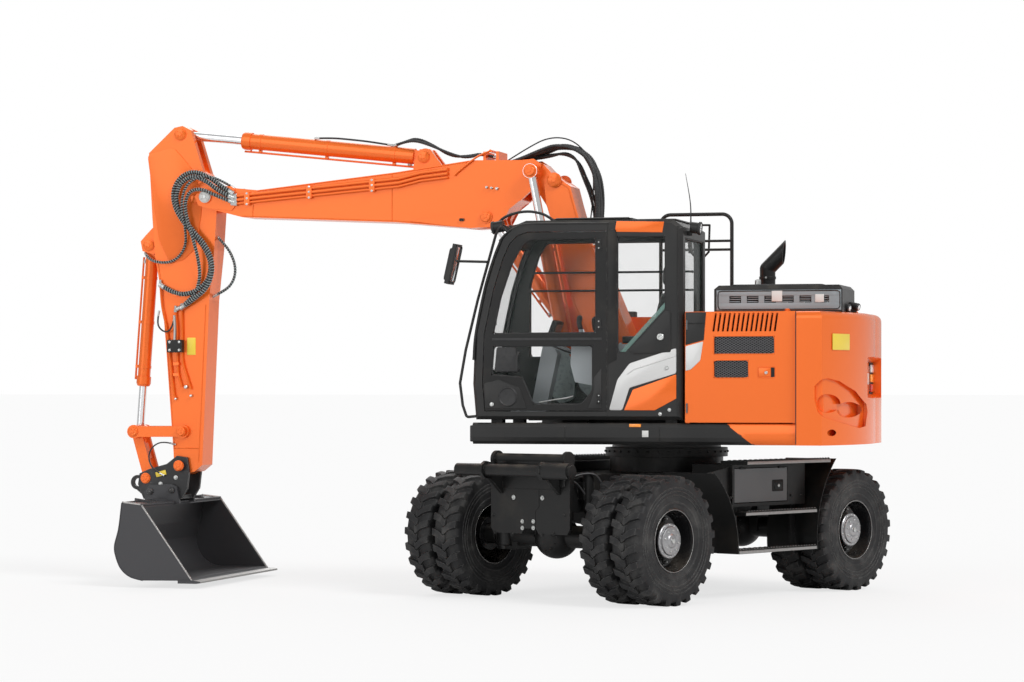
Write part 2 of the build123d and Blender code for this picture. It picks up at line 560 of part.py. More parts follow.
def pocket(side, depth, outline=None, hole=None):
    """Cutter for a pocket of an even depth in the counterweight's curved side."""
    low, high = sorted((side * 400, side * (TAIL_HALF + 10)))
    with BuildPart() as cutter:
        if outline:
            plate(outline, low, high)
        else:
            disc(hole[:2], hole[2], low, high)
        tail_plan(depth, DECK_LOW - 1, BODY_TOP - DECK_LOW + 2, mode=Mode.SUBTRACT)
    return cutter.part


with BuildPart() as counterweight:
    tail_plan(0, DECK_LOW, BODY_TOP - DECK_LOW)
    rim = [e for e in faces().sort_by(Axis.Z)[-1].edges() if e.center().X < BODY_REAR_X - 1]
    fillet(rim, TAIL_ROUND)
    for side in (-1, 1):
        add(pocket(side, POCKET_DEPTH, outline=POCKET), mode=Mode.SUBTRACT)
        for hole in LAMP_HOLES:
            add(pocket(side, LAMP_DEPTH, hole=hole), mode=Mode.SUBTRACT)
    plate([(TAIL_X - 10, 1700), (TAIL_X + 90, 1740), (TAIL_X + 90, 2010), (TAIL_X - 10, 2060)], -420, 420,
          mode=Mode.SUBTRACT)
write(counterweight, "counterweight")

with BuildPart() as fuel_tank:
    block(BODY_FRONT_X, TANK_FRONT_X, -HALF_W, TANK_LEFT_Y, DECK_TOP, BODY_TOP)
    fillet(edges().filter_by(Axis.Z).sort_by(Axis.X)[-2:] + faces().sort_by(Axis.Z)[-1].edges().sort_by(Axis.X)[-1:],
           60)
    with Locations((TANK_FRONT_X - 200, -900, BODY_TOP + 20)):
        Cylinder(62, 42)
write(fuel_tank, "fuel_tank")

with BuildPart() as front_locker:
    plate([(TANK_FRONT_X, DECK_TOP), (1380, DECK_TOP), (1380, 1700), (1350, 1720), (1130, 1720), (1130, 1920),
           (1100, 1950), (TANK_FRONT_X, 1950)], -HALF_W, TANK_LEFT_Y)
write(front_locker, "front_locker")

# ---------------------------------------------------------------- cab
CAB_ROUND = 30.0
DOOR = [
    (DOOR_REAR_X, 1590), (1330, 1590), (1350, 1830), (1335, 2250), (1255, 2620), (1170, 2890), (1110, 3020),
    (1040, 3090), (950, 3120), (DOOR_REAR_X, 3120),
]
DOOR_WINDOWS = [
    [(1257, 2253), (1190, 2560), (1090, 2850), (1000, 3010), (932, 3059), (352, 3060), (352, 2257)],
    [(1270, 1900), (1250, 2150), (380, 2150), (380, 1760), (480, 1650), (900, 1650), (1000, 1880)],
]
SIDE_WINDOW = [(165, 3075), (-249, 3070), (-249, 2460), (95, 2092), (165, 2092)]
RIGHT_WINDOW = [(-300, 2060), (1180, 2060), (1180, 2700), (1100, 2960), (1030, 3070), (-300, 3070)]
REAR_WINDOW = (330.0, 1110.0, 2120.0, 3060.0)  # y and z limits
SCREENS = [(310.0, 1130.0, 1950.0, 3010.0), (310.0, 1130.0, 1620.0, 1890.0)]  # y and z limits, front wall
SCREEN_REAR_X = 1000.0


def closed(points):
    """A closed outline as the sketch under construction."""
    with BuildLine() as border:
        Polyline(*points, close=True)
    make_face(border.edges())


def cab_outline(inset, y_from, y_to, mode=Mode.ADD):
    """The cab's side outline, set in by some distance, solid from y_from to y_to."""
    with BuildSketch(Plane.XZ.offset(-y_to)) as side_face:
        closed(CAB_SIDE)
        if inset:
            offset(amount=-inset, mode=Mode.REPLACE)
    extrude(side_face.sketch, amount=y_to - y_from, mode=mode)


def shrunk(points, y_from, y_to, gap=HINGE_GAP):
    """A pane cut to an outline with a small gap all round."""
    with BuildSketch(Plane.XZ.offset(-y_to)) as pane:
        closed(points)
        offset(amount=-gap, mode=Mode.REPLACE)
    extrude(pane.sketch, amount=y_to - y_from)


with BuildPart() as cab_shell:
    cab_outline(0, CAB_RIGHT, CAB_LEFT)
    long_edges = [e for e in edges() if abs(e.center().Y - CAB_LEFT) < 1 or abs(e.center().Y - CAB_RIGHT) < 1]
    chamfer(long_edges, CAB_ROUND)
    cab_outline(CAB_WALL, CAB_RIGHT + CAB_WALL, CAB_LEFT - CAB_WALL, mode=Mode.SUBTRACT)
    plate(RIGHT_WINDOW, CAB_RIGHT - 1, CAB_RIGHT + CAB_WALL + 1, mode=Mode.SUBTRACT)
    block(CAB_REAR_X - 1, CAB_REAR_X + CAB_WALL + 1, *REAR_WINDOW, mode=Mode.SUBTRACT)
    for limits in SCREENS:
        block(SCREEN_REAR_X, 1500, *limits, mode=Mode.SUBTRACT)
    plate(DOOR, CAB_LEFT - CAB_WALL - 1, CAB_LEFT + 1, mode=Mode.SUBTRACT)
    plate(SIDE_WINDOW, CAB_LEFT - CAB_WALL - 1, CAB_LEFT + 1, mode=Mode.SUBTRACT)
    block(80, 760, CAB_RIGHT + 180, CAB_LEFT - 180, 3200, HATCH_TOP)
write(cab_shell, "cab_shell")

with BuildPart() as cab_glass:
    for low, high, bottom, top in SCREENS:
        with BuildPart(mode=Mode.PRIVATE) as screen:
            cab_outline(GLASS_INSET, low + HINGE_GAP, high - HINGE_GAP)
            cab_outline(GLASS_INSET + GLASS, low - 1, high + 1, mode=Mode.SUBTRACT)
            block(SCREEN_REAR_X + HINGE_GAP, 1500, low, high, bottom + HINGE_GAP, top - HINGE_GAP,
                  mode=Mode.INTERSECT)
        add(screen.part)
    shrunk(SIDE_WINDOW, CAB_LEFT - GLASS_INSET - GLASS, CAB_LEFT - GLASS_INSET)
    shrunk(RIGHT_WINDOW, CAB_RIGHT + GLASS_INSET, CAB_RIGHT + GLASS_INSET + GLASS)
    low, high, bottom, top = REAR_WINDOW
    block(CAB_REAR_X + GLASS_INSET, CAB_REAR_X + GLASS_INSET + GLASS, low + HINGE_GAP, high - HINGE_GAP,
          bottom + HINGE_GAP, top - HINGE_GAP)
write(cab_glass, "cab_glass")

with BuildPart() as cab_door:
    with BuildSketch(Plane.XZ.offset(-CAB_LEFT)) as leaf:
        closed(DOOR)
        offset(amount=-SHUT_GAP, mode=Mode.REPLACE)
    extrude(leaf.sketch, amount=CAB_WALL)
    block(DOOR_REAR_X + HINGE_GAP, DOOR_REAR_X + 40, CAB_LEFT - CAB_WALL, CAB_LEFT, 1590 + SHUT_GAP,
          3120 - SHUT_GAP)
    for window in DOOR_WINDOWS:
        plate(window, CAB_LEFT - CAB_WALL - 1, CAB_LEFT + 1, mode=Mode.SUBTRACT)
write(cab_door, "cab_door")

with BuildPart() as door_glass:
    for window in DOOR_WINDOWS:
        shrunk(window, CAB_LEFT - GLASS_INSET - GLASS, CAB_LEFT - GLASS_INSET)
write(door_glass, "door_glass")

SEAT_LEFT_Y, SEAT_RIGHT_Y = 1000.0, 560.0

with BuildPart() as cab_seat:
    block(-150, 330, SEAT_RIGHT_Y, SEAT_LEFT_Y, CAB_FLOOR + CAB_WALL, 1880)
    plate([(-170, 1880), (330, 1880), (370, 1930), (360, 2020), (310, 2040), (-60, 2020), (-170, 2010)],
          SEAT_RIGHT_Y + 12, SEAT_LEFT_Y - 12)
    plate([(-170, 2010), (-40, 2030), (-95, 2400), (-150, 2620), (-215, 2640), (-255, 2600), (-235, 2300)],
          SEAT_RIGHT_Y + 20, SEAT_LEFT_Y - 20)
    disc((-185, 2740), 105, 690, 870)
    bar((-190, 780, 2600), (-190, 780, 2700), 24)
write(cab_seat, "cab_seat")

WHEEL_AT, WHEEL_R = (835.0, 780.0, 2170.0), 180.0

with BuildPart() as cab_console:
    for low, high in ((SEAT_LEFT_Y, SEAT_LEFT_Y + 110), (SEAT_RIGHT_Y - 110, SEAT_RIGHT_Y)):
        plate([(-80, 1900), (300, 1790), (560, 1840), (600, 1990), (590, 2170), (440, 2180), (-80, 2150)], low, high)
        disc((510, 2230), 24, low + 35, high - 35)
        bar((510, (low + high) / 2, 2150), (520, (low + high) / 2, 2290), 20)
    plate([(1010, 1640), (1120, 1565), (890, 1565), (780, 2080), (815, 2150), (850, 2172), (905, 2180),
           (930, 2060)], 710, 850)
    wheel_plane = Plane(origin=WHEEL_AT, z_dir=(-0.42, 0, 0.9))
    with BuildSketch(wheel_plane.offset(-14)) as steering:
        Circle(WHEEL_R)
        Circle(WHEEL_R - 28, mode=Mode.SUBTRACT)
        Rectangle(2 * WHEEL_R - 20, 46)
    extrude(steering.sketch, amount=28)
    for y in (640, 870):
        plate([(1130, 1565), (1250, 1640), (1230, 1660), (1110, 1590), (1080, 1565)], y, y + 80)
write(cab_console, "cab_console")

# ---------------------------------------------------------------- rails, mirrors and lamps
RAIL_R, GRAB_R = 17.0, 12.0
RAIL_Y, RAIL_TOP, RAIL_REAR_X, RAIL_FRONT_X = -1100.0, 3385.0, -375.0, 290.0
GRAB_Y = 1175.0
GRAB_RAIL = [  # x, z from the roof's front slope to the foot of the front wall
    (1139.7, 3124.2), (1194.5, 3182.2), (1240, 3106), (1402, 2543), (1509, 2115), (1560, 1832), (1536, 1643),
    (1500, 1540), (1414.3, 1548),
]

with BuildPart() as handrails:
    tube_along([(RAIL_REAR_X, RAIL_Y, BODY_TOP), (RAIL_REAR_X, RAIL_Y, RAIL_TOP), (RAIL_FRONT_X, RAIL_Y, RAIL_TOP),
                (RAIL_FRONT_X, RAIL_Y, BODY_TOP)], 90, RAIL_R)
    for z in (3140, 3060):
        bar((RAIL_REAR_X, RAIL_Y, z), (RAIL_FRONT_X, RAIL_Y, z), GRAB_R)
    tube_along([(x, GRAB_Y, z) for x, z in GRAB_RAIL], 26, GRAB_R)
write(handrails, "handrails")

LOOP = [(70, 3300), (-128, 3297), (-120, 3050), (-33, 2956), (50, 3050)]  # x, z of the right mirror's guard
LOOP_Y = -1300.0

with BuildPart() as mirrors:
    bar((1318.7, GRAB_Y + 10.7, 2870), (1535, 1390, 2870), 11)
    plate([(1500, 3010), (1532, 3016), (1612, 2680), (1576, 2670)], 1310, 1490)
    for start, end in zip(LOOP, LOOP[1:] + LOOP[:1]):
        bar((start[0], LOOP_Y, start[1]), (end[0], LOOP_Y, end[1]), 10)
        with Locations((start[0], LOOP_Y, start[1])):
            Sphere(10)
    bar((-60, RAIL_Y - GRAB_R - 1.2, 3060), (-60, LOOP_Y, 2989), 10)
    plate([(48, 3040), (72, 3040), (84, 3290), (60, 3290)], LOOP_Y - 190, LOOP_Y + 5)
write(mirrors, "mirrors")

with BuildPart() as work_lamps:
    for y in (1010, 430):  # on brackets over the roof's front slope
        bar((1215, y, 3186), (1310, y, 3170), 50)
        plate([(1157.9, 3107), (1225, 3150), (1225, 3200), (1112.4, 3150)], y - 15, y + 15)
    bar((-425, 1000, 3150), (-505, 1000, 3140), 48)
    block(-440, CAB_REAR_X - HINGE_GAP, 980, 1020, 3080, 3120)
write(work_lamps, "work_lamps")

# ---------------------------------------------------------------- cylinders
def eye(pin, towards, half, radius, bore, reach, middle):
    """The eye of a barrel or rod: a boss on the pin and a neck of the eye's width towards the tube."""
    disc(pin, radius, middle - half, middle + half)
    start, end = stretch(pin, towards, 0), stretch(pin, towards, reach)
    run = Vector(end[0] - start[0], 0, end[1] - start[1]).normalized()
    across = (run.Z * radius * 0.7, -run.X * radius * 0.7)
    plate([(start[0] + across[0], start[1] + across[1]), (end[0] + across[0], end[1] + across[1]),
           (end[0] - across[0], end[1] - across[1]), (start[0] - across[0], start[1] - across[1])],
          middle - half, middle + half)
    if bore:
        disc(pin, bore, middle - half - 1, middle + half + 1, mode=Mode.SUBTRACT)


def barrel(base, rod_pin, radius, rod_radius, half, stroke_in, middle):
    """Closed end eye, tube and gland of one cylinder; its bore runs from the gland to near the closed end."""
    rest = hypot(rod_pin[0] - base[0], rod_pin[1] - base[1])
    mouth = rest - stroke_in - radius - 45
    closed, glands = 110.0, 70.0

    def at(distance):
        x, z = stretch(base, rod_pin, distance)
        return (x, middle, z)

    eye(base, rod_pin, half, radius + 8, PIN_R + PIN_FIT, closed + 10, middle)
    bar(at(closed), at(mouth), radius)
    bar(at(mouth - glands), at(mouth), radius + 9)
    bar(at(closed + 25), at(mouth + 1), rod_radius + ROD_FIT, mode=Mode.SUBTRACT)


def rod(base, rod_pin, radius, rod_radius, half, stroke_in, middle):
    """Rod and eye; the eye has no pin, because the linkage is opened here."""
    rest = hypot(rod_pin[0] - base[0], rod_pin[1] - base[1])
    x, z = stretch(base, rod_pin, 110 + 40 + stroke_in)
    eye_r = radius + 4
    ex, ez = stretch(rod_pin, base, eye_r - 10)
    bar((x, middle, z), (ex, middle, ez), rod_radius)
    disc(rod_pin, eye_r, middle - half, middle + half)


for cylinder_name, row in CYLINDERS.items():
    base, rod_pin, radius, rod_radius, half, stroke_in = row
    middles = (BOOM_Y - LIFT_Y, BOOM_Y + LIFT_Y) if cylinder_name == "lift" else (BOOM_Y,)
    with BuildPart() as barrels:
        for middle in middles:
            barrel(base, rod_pin, radius, rod_radius, half, stroke_in, middle)
    write(barrels, f"{cylinder_name}_barrel")
    with BuildPart() as rods:
        for middle in middles:
            rod(base, rod_pin, radius, rod_radius, half, stroke_in, middle)
    write(rods, f"{cylinder_name}_rod")

# ---------------------------------------------------------------- base boom
NECK = BOOM_HALF - CHEEK - SIDE_GAP  # half width of the head between the front boom's cheeks
HEAD_R = 118.0

with BuildPart() as base_boom:
    plate([(215, 2010), (560, 2830), (783, 3301), (822, 3435), (861, 3584), (1036, 3700), (1120, 3790),
           (1200, 3812), (1280, 3770), (1290, 3690), (1180, 3560), (1090, 3420), (1040, 3300), (940, 2917),
           (837, 2531), (720, 2280), (400, 1880), (305, 1821), (215, 1860)], BOOM_Y - NECK, BOOM_Y + NECK)
    for side in (-1, 1):
        low, high = sorted((BOOM_Y + side * (NECK - 1), BOOM_Y + side * BOOM_HALF))
        plate([(215, 2010), (560, 2830), (783, 3301), (822, 3435), (861, 3584), (960, 3655), (1040, 3700),
               (1100, 3600), (1080, 3420), (1040, 3300), (940, 2917), (837, 2531), (720, 2280), (400, 1880),
               (305, 1821), (215, 1860)], low, high)
        disc(HINGE, HEAD_R + 30, low + (1 if side > 0 else 0), high + (0 if side > 0 else -1),
             mode=Mode.SUBTRACT)
    disc(FOOT, 110, BOOM_Y - BOOM_HALF, BOOM_Y + BOOM_HALF)
    disc(FOOT, PIN_R + 10 + PIN_FIT, BOOM_Y - BOOM_HALF - 1, BOOM_Y + BOOM_HALF + 1, mode=Mode.SUBTRACT)
    disc(HINGE, PIN_R + 10, BOOM_Y - BOOM_HALF - 25, BOOM_Y + BOOM_HALF + 25)
    for side in (-1, 1):
        low, high = sorted((BOOM_Y + side * 51, BOOM_Y + side * 90))
        plate([(740, 2330), (900, 2290), (985, 2330), (1000, 2420), (940, 2470), (840, 2540)], low, high)
    disc(FOLD_BASE, PIN_R, BOOM_Y - 90, BOOM_Y + 90)
    for side in (-1, 1):
        low, high = sorted((BOOM_Y + side * BOOM_HALF, BOOM_Y + side * (BOOM_HALF + 14)))
        disc((1005, 3640), 62, low, high)
write(base_boom, "base_boom")

# ---------------------------------------------------------------- front boom
with BuildPart() as front_boom:
    with BuildSketch(Plane.XZ.offset(-(BOOM_Y + BOOM_HALF))) as box_side:
        with BuildLine():
            Polyline((1170, 3600), (1130, 3790), (1200, 3836), (1316, 3826), (1778, 3834), (2479, 3740),
                     (3813, 3601), (4290, 3650), (4385, 3630), (4418, 3548), (4385, 3470), (4290, 3440),
                     (3958, 3356), (2479, 3288), (1778, 3224), (1500, 3238))
            ThreePointArc((1500, 3238), (1420, 3390), (1316, 3467))
            Line((1316, 3467), (1170, 3600))
        make_face()
    extrude(box_side.sketch, amount=2 * BOOM_HALF)
    inner = BOOM_HALF - CHEEK
    disc(HINGE, HEAD_R + 60, BOOM_Y - inner, BOOM_Y + inner, mode=Mode.SUBTRACT)
    plate([(1000, 3400), (1300, 3420), (1340, 3600), (1300, 3880), (1000, 3900)], BOOM_Y - inner,
          BOOM_Y + inner, mode=Mode.SUBTRACT)
    disc(HINGE, PIN_R + 10 + PIN_FIT, BOOM_Y - BOOM_HALF - 1, BOOM_Y + BOOM_HALF + 1, mode=Mode.SUBTRACT)
    slot_x = ARM_PIN[0] - 310
    block(slot_x, ARM_PIN[0] + 200, BOOM_Y - inner, BOOM_Y + inner, 3300, 3800, mode=Mode.SUBTRACT)
    disc(ARM_PIN, PIN_R + 5, BOOM_Y - BOOM_HALF, BOOM_Y + BOOM_HALF)
    for side in (-1, 1):
        low, high = sorted((BOOM_Y + side * 51, BOOM_Y + side * 90))
        plate([(2060, 3780), (2190, 3950), (2285, 3950), (2345, 3800), (2345, 3740), (2060, 3740)], low, high)
        plate([(1460, 3250), (1560, 3240), (1720, 3260), (1780, 3400), (1700, 3420), (1500, 3380)], low, high)
    disc(STICK_BASE, PIN_R, BOOM_Y - 90, BOOM_Y + 90)
    plate([(1440, 3100), (1880, 3100), (1800, 3420), (1740, 3490), (1560, 3490), (1440, 3400)], BOOM_Y - 51,
          BOOM_Y + 51, mode=Mode.SUBTRACT)
    for side in (-1, 1):
        low, high = sorted((BOOM_Y + side * (BOOM_HALF - 1), BOOM_Y + side * (BOOM_HALF + DOUBLER)))
        plate([(4030, 3450), (4060, 3420), (4290, 3440), (4385, 3470), (4418, 3548), (4385, 3630), (4290, 3650),
               (4060, 3640), (4030, 3610)], low, high)
        plate([(2350, 3296), (1778, 3224), (1500, 3238), (1420, 3390), (1330, 3458), (1500, 3420), (1700, 3370),
               (2100, 3330)], low, high)
        low, high = sorted((BOOM_Y + side * BOOM_HALF, BOOM_Y + side * (BOOM_HALF + 26)))
        disc(FOLD_EYE, 58, low, high)
        disc(ARM_PIN, 62, low, high)
write(front_boom, "front_boom")

PIPE_Y = BOOM_HALF + 24.0
PIPES = [  # radius, drop below the boom's top line
    (15.0, 62.0), (15.0, 100.0), (11.0, 134.0),
]
CLAMP_X = (2700.0, 3300.0, 3900.0)
TOP_LINE = ((2450.0, 3743.0), (4020.0, 3612.0))  # the boom's top edge between the pipes' ends


def top_line(x):
    """Height of the boom's top edge."""
    (x1, z1), (x2, z2) = TOP_LINE
    return z1 + (z2 - z1) * (x - x1) / (x2 - x1)


with BuildPart() as boom_pipes:
    for side in (-1, 1):
        y = BOOM_Y + side * PIPE_Y
        for radius, drop in PIPES:
            tube_along([(1990, y, top_line(1990) - drop + 36), (2250, y, top_line(2250) - drop + 30),
                        (2450, y, top_line(2450) - drop), (4020, y, top_line(4020) - drop)], 60, radius)
        for x in CLAMP_X:
            low, high = sorted((BOOM_Y + side * BOOM_HALF, BOOM_Y + side * (PIPE_Y + 20)))
            block(x - 25, x + 25, low, high, top_line(x) - PIPES[-1][1] - 18, top_line(x) - PIPES[0][1] + 22)
write(boom_pipes, "boom_pipes")

# ---------------------------------------------------------------- arm
with BuildPart() as arm:
    plate([(4892, 3966), (4640, 4195), (4560, 4210), (4480, 4170), (4357, 3780), (4215, 3570), (4249, 3059),
           (4298, 2600), (4366, 1080), (4440, 1020), (4570, 985), (4640, 1030), (4650, 1216), (4720, 2141),
           (4759, 2603), (4830, 3000), (4858, 3363)], BOOM_Y - ARM_HALF, BOOM_Y + ARM_HALF)
    plate([(STICK_EYE[0] - 310, STICK_EYE[1] - 440), (STICK_EYE[0] + 20, STICK_EYE[1] - 110),
           (STICK_EYE[0] + 400, STICK_EYE[1] - 110), (STICK_EYE[0] + 400, STICK_EYE[1] + 200),
           (STICK_EYE[0] - 310, STICK_EYE[1] + 200)], BOOM_Y - 62, BOOM_Y + 62, mode=Mode.SUBTRACT)
    disc(ARM_PIN, 100, BOOM_Y - ARM_HALF, BOOM_Y + ARM_HALF)
    disc(ARM_PIN, PIN_R + 5 + PIN_FIT, BOOM_Y - ARM_HALF - 1, BOOM_Y + ARM_HALF + 1, mode=Mode.SUBTRACT)
    for side in (-1, 1):
        low, high = sorted((BOOM_Y + side * 66, BOOM_Y + side * 105))
        plate([(4800, 3060), (4860, 3030), (4966, 3060), (4985, 3150), (4940, 3200), (4840, 3300)], low, high)
    disc(TIP_BASE, 84, BOOM_Y - 62, BOOM_Y + 62, mode=Mode.SUBTRACT)
    disc(TIP_BASE, PIN_R, BOOM_Y - 105, BOOM_Y + 105)
    disc(ROCKER_PIN, 34, BOOM_Y - ARM_HALF - SIDE_GAP - 30, BOOM_Y + ARM_HALF + SIDE_GAP + 30)
    disc(BUCKET_PIN, PIN_R - 5, BOOM_Y - ARM_HALF - SIDE_GAP - 34, BOOM_Y + ARM_HALF + SIDE_GAP + 34)
write(arm, "arm")

# ---------------------------------------------------------------- rocker, link, coupler, bucket
def link_plate(first, second, radius, y_from, y_to):
    """A plate with round ends around two pins."""
    run = Vector(second[0] - first[0], 0, second[1] - first[1]).normalized()
    across = (run.Z * radius * 0.8, -run.X * radius * 0.8)
    plate([(first[0] + across[0], first[1] + across[1]), (second[0] + across[0], second[1] + across[1]),
           (second[0] - across[0], second[1] - across[1]), (first[0] - across[0], first[1] - across[1])],
          y_from, y_to)
    disc(first, radius, y_from, y_to)
    disc(second, radius, y_from, y_to)


with BuildPart() as rocker:
    for side in (-1, 1):
        low, high = sorted((BOOM_Y + side * (ARM_HALF + SIDE_GAP), BOOM_Y + side * (ARM_HALF + SIDE_GAP + 30)))
        link_plate(ROCKER_PIN, LINK_PIN, 62, low, high)
        disc(ROCKER_PIN, 34 + PIN_FIT, low - 1, high + 1, mode=Mode.SUBTRACT)
        low, high = sorted((BOOM_Y + side * 60, BOOM_Y + side * (ARM_HALF + SIDE_GAP + 30)))
        disc(LINK_PIN, 34, low, high)
write(rocker, "rocker")

LINK_IN, LINK_OUT = 62.0, 100.0

with BuildPart() as tip_link:
    for side in (-1, 1):
        low, high = sorted((BOOM_Y + side * LINK_IN, BOOM_Y + side * LINK_OUT))
        link_plate(LINK_PIN, CROWD_PIN, 60, low, high)
        disc(LINK_PIN, 34 + PIN_FIT, low - 1, high + 1, mode=Mode.SUBTRACT)
        low, high = sorted((BOOM_Y + side * LINK_IN, BOOM_Y + side * 128))
        disc(CROWD_PIN, 66, low, high)
    low, high = stretch(LINK_PIN, CROWD_PIN, 110), stretch(LINK_PIN, CROWD_PIN, 260)
    across = (low[1] - high[1]) / 4
    plate([(low[0] - across, low[1]), (low[0] - across + 50, low[1]), (high[0] - across + 50, high[1]),
           (high[0] - across, high[1])], BOOM_Y - LINK_IN - 1, BOOM_Y + LINK_IN + 1)
write(tip_link, "tip_link")

COUPLER_PINS = ((4640.0, 850.0), (4850.0, 835.0))
COUPLER_LOW = 765.0
EAR_Y = ARM_HALF + SIDE_GAP + 34  # outer face of the coupler's cheeks
EYE_X, EYE_Z, EYE_R = 5050.0, 913.0, 38.0

with BuildPart() as quick_coupler:
    for side in (-1, 1):
        low, high = sorted((BOOM_Y + side * (ARM_HALF + SIDE_GAP), BOOM_Y + side * EAR_Y))
        plate([(4480, 1030), (4500, 1150), (4600, 1165), (4700, 1090), (4880, 1040), (4970, 1000), (4985, 900),
               (4930, COUPLER_LOW), (4560, COUPLER_LOW), (4500, 860)], low, high)
        disc(BUCKET_PIN, PIN_R - 5 + PIN_FIT, low - 1, high + 1, mode=Mode.SUBTRACT)
    block(4580, 4940, BOOM_Y - 140, BOOM_Y + 140, COUPLER_LOW, COUPLER_LOW + 35)
    for pin in COUPLER_PINS:
        disc(pin, 27, BOOM_Y - EAR_Y - 45, BOOM_Y - EAR_Y)
        disc(pin, 27, BOOM_Y + EAR_Y, BOOM_Y + EAR_Y + 45)
    plate([(4880, COUPLER_LOW), (4960, COUPLER_LOW), (EYE_X + 20, EYE_Z - 60), (EYE_X - 50, EYE_Z - 40),
           (4960, COUPLER_LOW + 80), (4880, COUPLER_LOW + 35)], BOOM_Y - 20, BOOM_Y + 20)
    disc((EYE_X, EYE_Z), EYE_R + 30, BOOM_Y - 20, BOOM_Y + 20)
    disc((EYE_X, EYE_Z), EYE_R, BOOM_Y - 21, BOOM_Y + 21, mode=Mode.SUBTRACT)
write(quick_coupler, "quick_coupler")

BUCKET_HALF, BUCKET_SKIN = 1000.0, 20.0
LIP_X, LIP_OVER = 4040.0, 12.0

with BuildPart() as bucket:
    with BuildSketch(Plane.XZ.offset(-(BOOM_Y + BUCKET_HALF))) as whole:
        with BuildLine():
            Polyline((4135, 72), (4600, 66))
            ThreePointArc((4600, 66), (4805, 165), (4870, 370))
            Polyline((4870, 370), (4830, 530), (4800, 760), (4620, 740), (4135, 72))
        make_face()
    extrude(whole.sketch, amount=2 * BUCKET_HALF)
    with BuildSketch(Plane.XZ.offset(-(BOOM_Y + BUCKET_HALF - BUCKET_SKIN))) as hollow:
        with BuildLine():
            Polyline((4080, 92), (4600, 86))
            ThreePointArc((4600, 86), (4789, 178), (4850, 370))
            Polyline((4850, 370), (4810, 528), (4782, 738), (4580, 714), (4080, 92))
        make_face()
    extrude(hollow.sketch, amount=2 * (BUCKET_HALF - BUCKET_SKIN), mode=Mode.SUBTRACT)
    plate([(LIP_X, 52), (LIP_X + 40, 46), (4260, 46), (4260, 72), (4135, 76), (LIP_X + 6, 64)],
          BOOM_Y - BUCKET_HALF - LIP_OVER, BOOM_Y + BUCKET_HALF + LIP_OVER)
    for side in (-1, 1):
        low, high = sorted((BOOM_Y + side * (EAR_Y + 5), BOOM_Y + side * (EAR_Y + 35)))
        plate([(4560, 728), (4590, 880), (4640, 905), (4860, 895), (4910, 830), (4890, 640), (4822, 560), (4790, 750)],
              low, high)
        for pin in COUPLER_PINS:
            disc(pin, 27 + PIN_FIT, low - 1, high + 1, mode=Mode.SUBTRACT)
write(bucket, "bucket")
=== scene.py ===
"""Dresses the solids of a wheeled excavator: finishes for what the solids show, and modelled pieces for the rest.

Lengths are metres. Pieces of the upper works are drawn with the slewing axis at x = y = 0 and the ground at z = 0,
and those of the undercarriage in its own travel frame, which stands turned under the upper works.
"""

import json
import logging
from dataclasses import dataclass
from enum import Enum
from typing import Any, Callable, Iterable, Sequence

import bmesh
import bpy
import numpy as np
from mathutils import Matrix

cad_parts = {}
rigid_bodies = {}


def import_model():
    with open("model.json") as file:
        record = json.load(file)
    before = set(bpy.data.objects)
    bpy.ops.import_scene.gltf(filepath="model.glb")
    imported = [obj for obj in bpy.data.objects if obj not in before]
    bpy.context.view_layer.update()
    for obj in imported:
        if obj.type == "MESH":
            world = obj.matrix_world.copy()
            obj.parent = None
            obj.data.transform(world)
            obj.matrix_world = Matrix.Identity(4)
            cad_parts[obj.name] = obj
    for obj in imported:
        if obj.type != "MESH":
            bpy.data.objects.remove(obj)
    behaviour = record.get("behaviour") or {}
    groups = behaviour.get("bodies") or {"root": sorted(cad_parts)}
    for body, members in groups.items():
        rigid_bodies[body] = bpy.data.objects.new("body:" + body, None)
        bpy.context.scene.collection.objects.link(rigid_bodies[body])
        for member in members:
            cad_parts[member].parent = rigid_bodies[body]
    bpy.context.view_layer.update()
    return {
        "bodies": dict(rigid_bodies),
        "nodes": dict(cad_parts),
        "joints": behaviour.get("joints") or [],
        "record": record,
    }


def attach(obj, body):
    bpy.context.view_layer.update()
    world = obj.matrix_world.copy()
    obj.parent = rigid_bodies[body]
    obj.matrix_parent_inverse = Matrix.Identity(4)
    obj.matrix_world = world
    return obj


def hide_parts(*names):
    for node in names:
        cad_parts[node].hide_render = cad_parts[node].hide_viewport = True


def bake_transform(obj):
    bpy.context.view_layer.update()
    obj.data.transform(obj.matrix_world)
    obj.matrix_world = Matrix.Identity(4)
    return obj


LOG = logging.getLogger("excavator")
Point = Sequence[float]
Colour = tuple[float, float, float]
SLEW = np.array([-1.629, -0.180, 0.0])
PARK_TURN = np.radians(64.0)
SMOOTH_ANGLE = np.radians(32.0)
TINY = 1e-6
X, Y, Z = np.eye(3)


class Place(Enum):
    """The frame that a piece is drawn in, by its turn about the slewing axis."""

    UPPER = 0.0
    TRAVEL = 1.0

    def put(self, points: np.ndarray) -> np.ndarray:
        """The points in the part's frame: turned about the slewing axis, then shifted to it."""
        turn = self.value * PARK_TURN
        c, s = np.cos(turn), np.sin(turn)
        p = np.asarray(points, float).reshape(-1, 3)
        return np.c_[p[:, 0] * c - p[:, 1] * s, p[:, 0] * s + p[:, 1] * c, p[:, 2]] + SLEW


def unit(vector: Point) -> np.ndarray:
    """The vector at length one."""
    v = np.asarray(vector, float)
    return v / np.linalg.norm(v)


def lengths(vectors: np.ndarray) -> np.ndarray:
    """The length of each row, as a column."""
    return np.linalg.norm(vectors, axis=1, keepdims=True)


def travel(path: np.ndarray) -> float:
    """The length of a path."""
    return float(lengths(np.diff(path, axis=0)).sum())


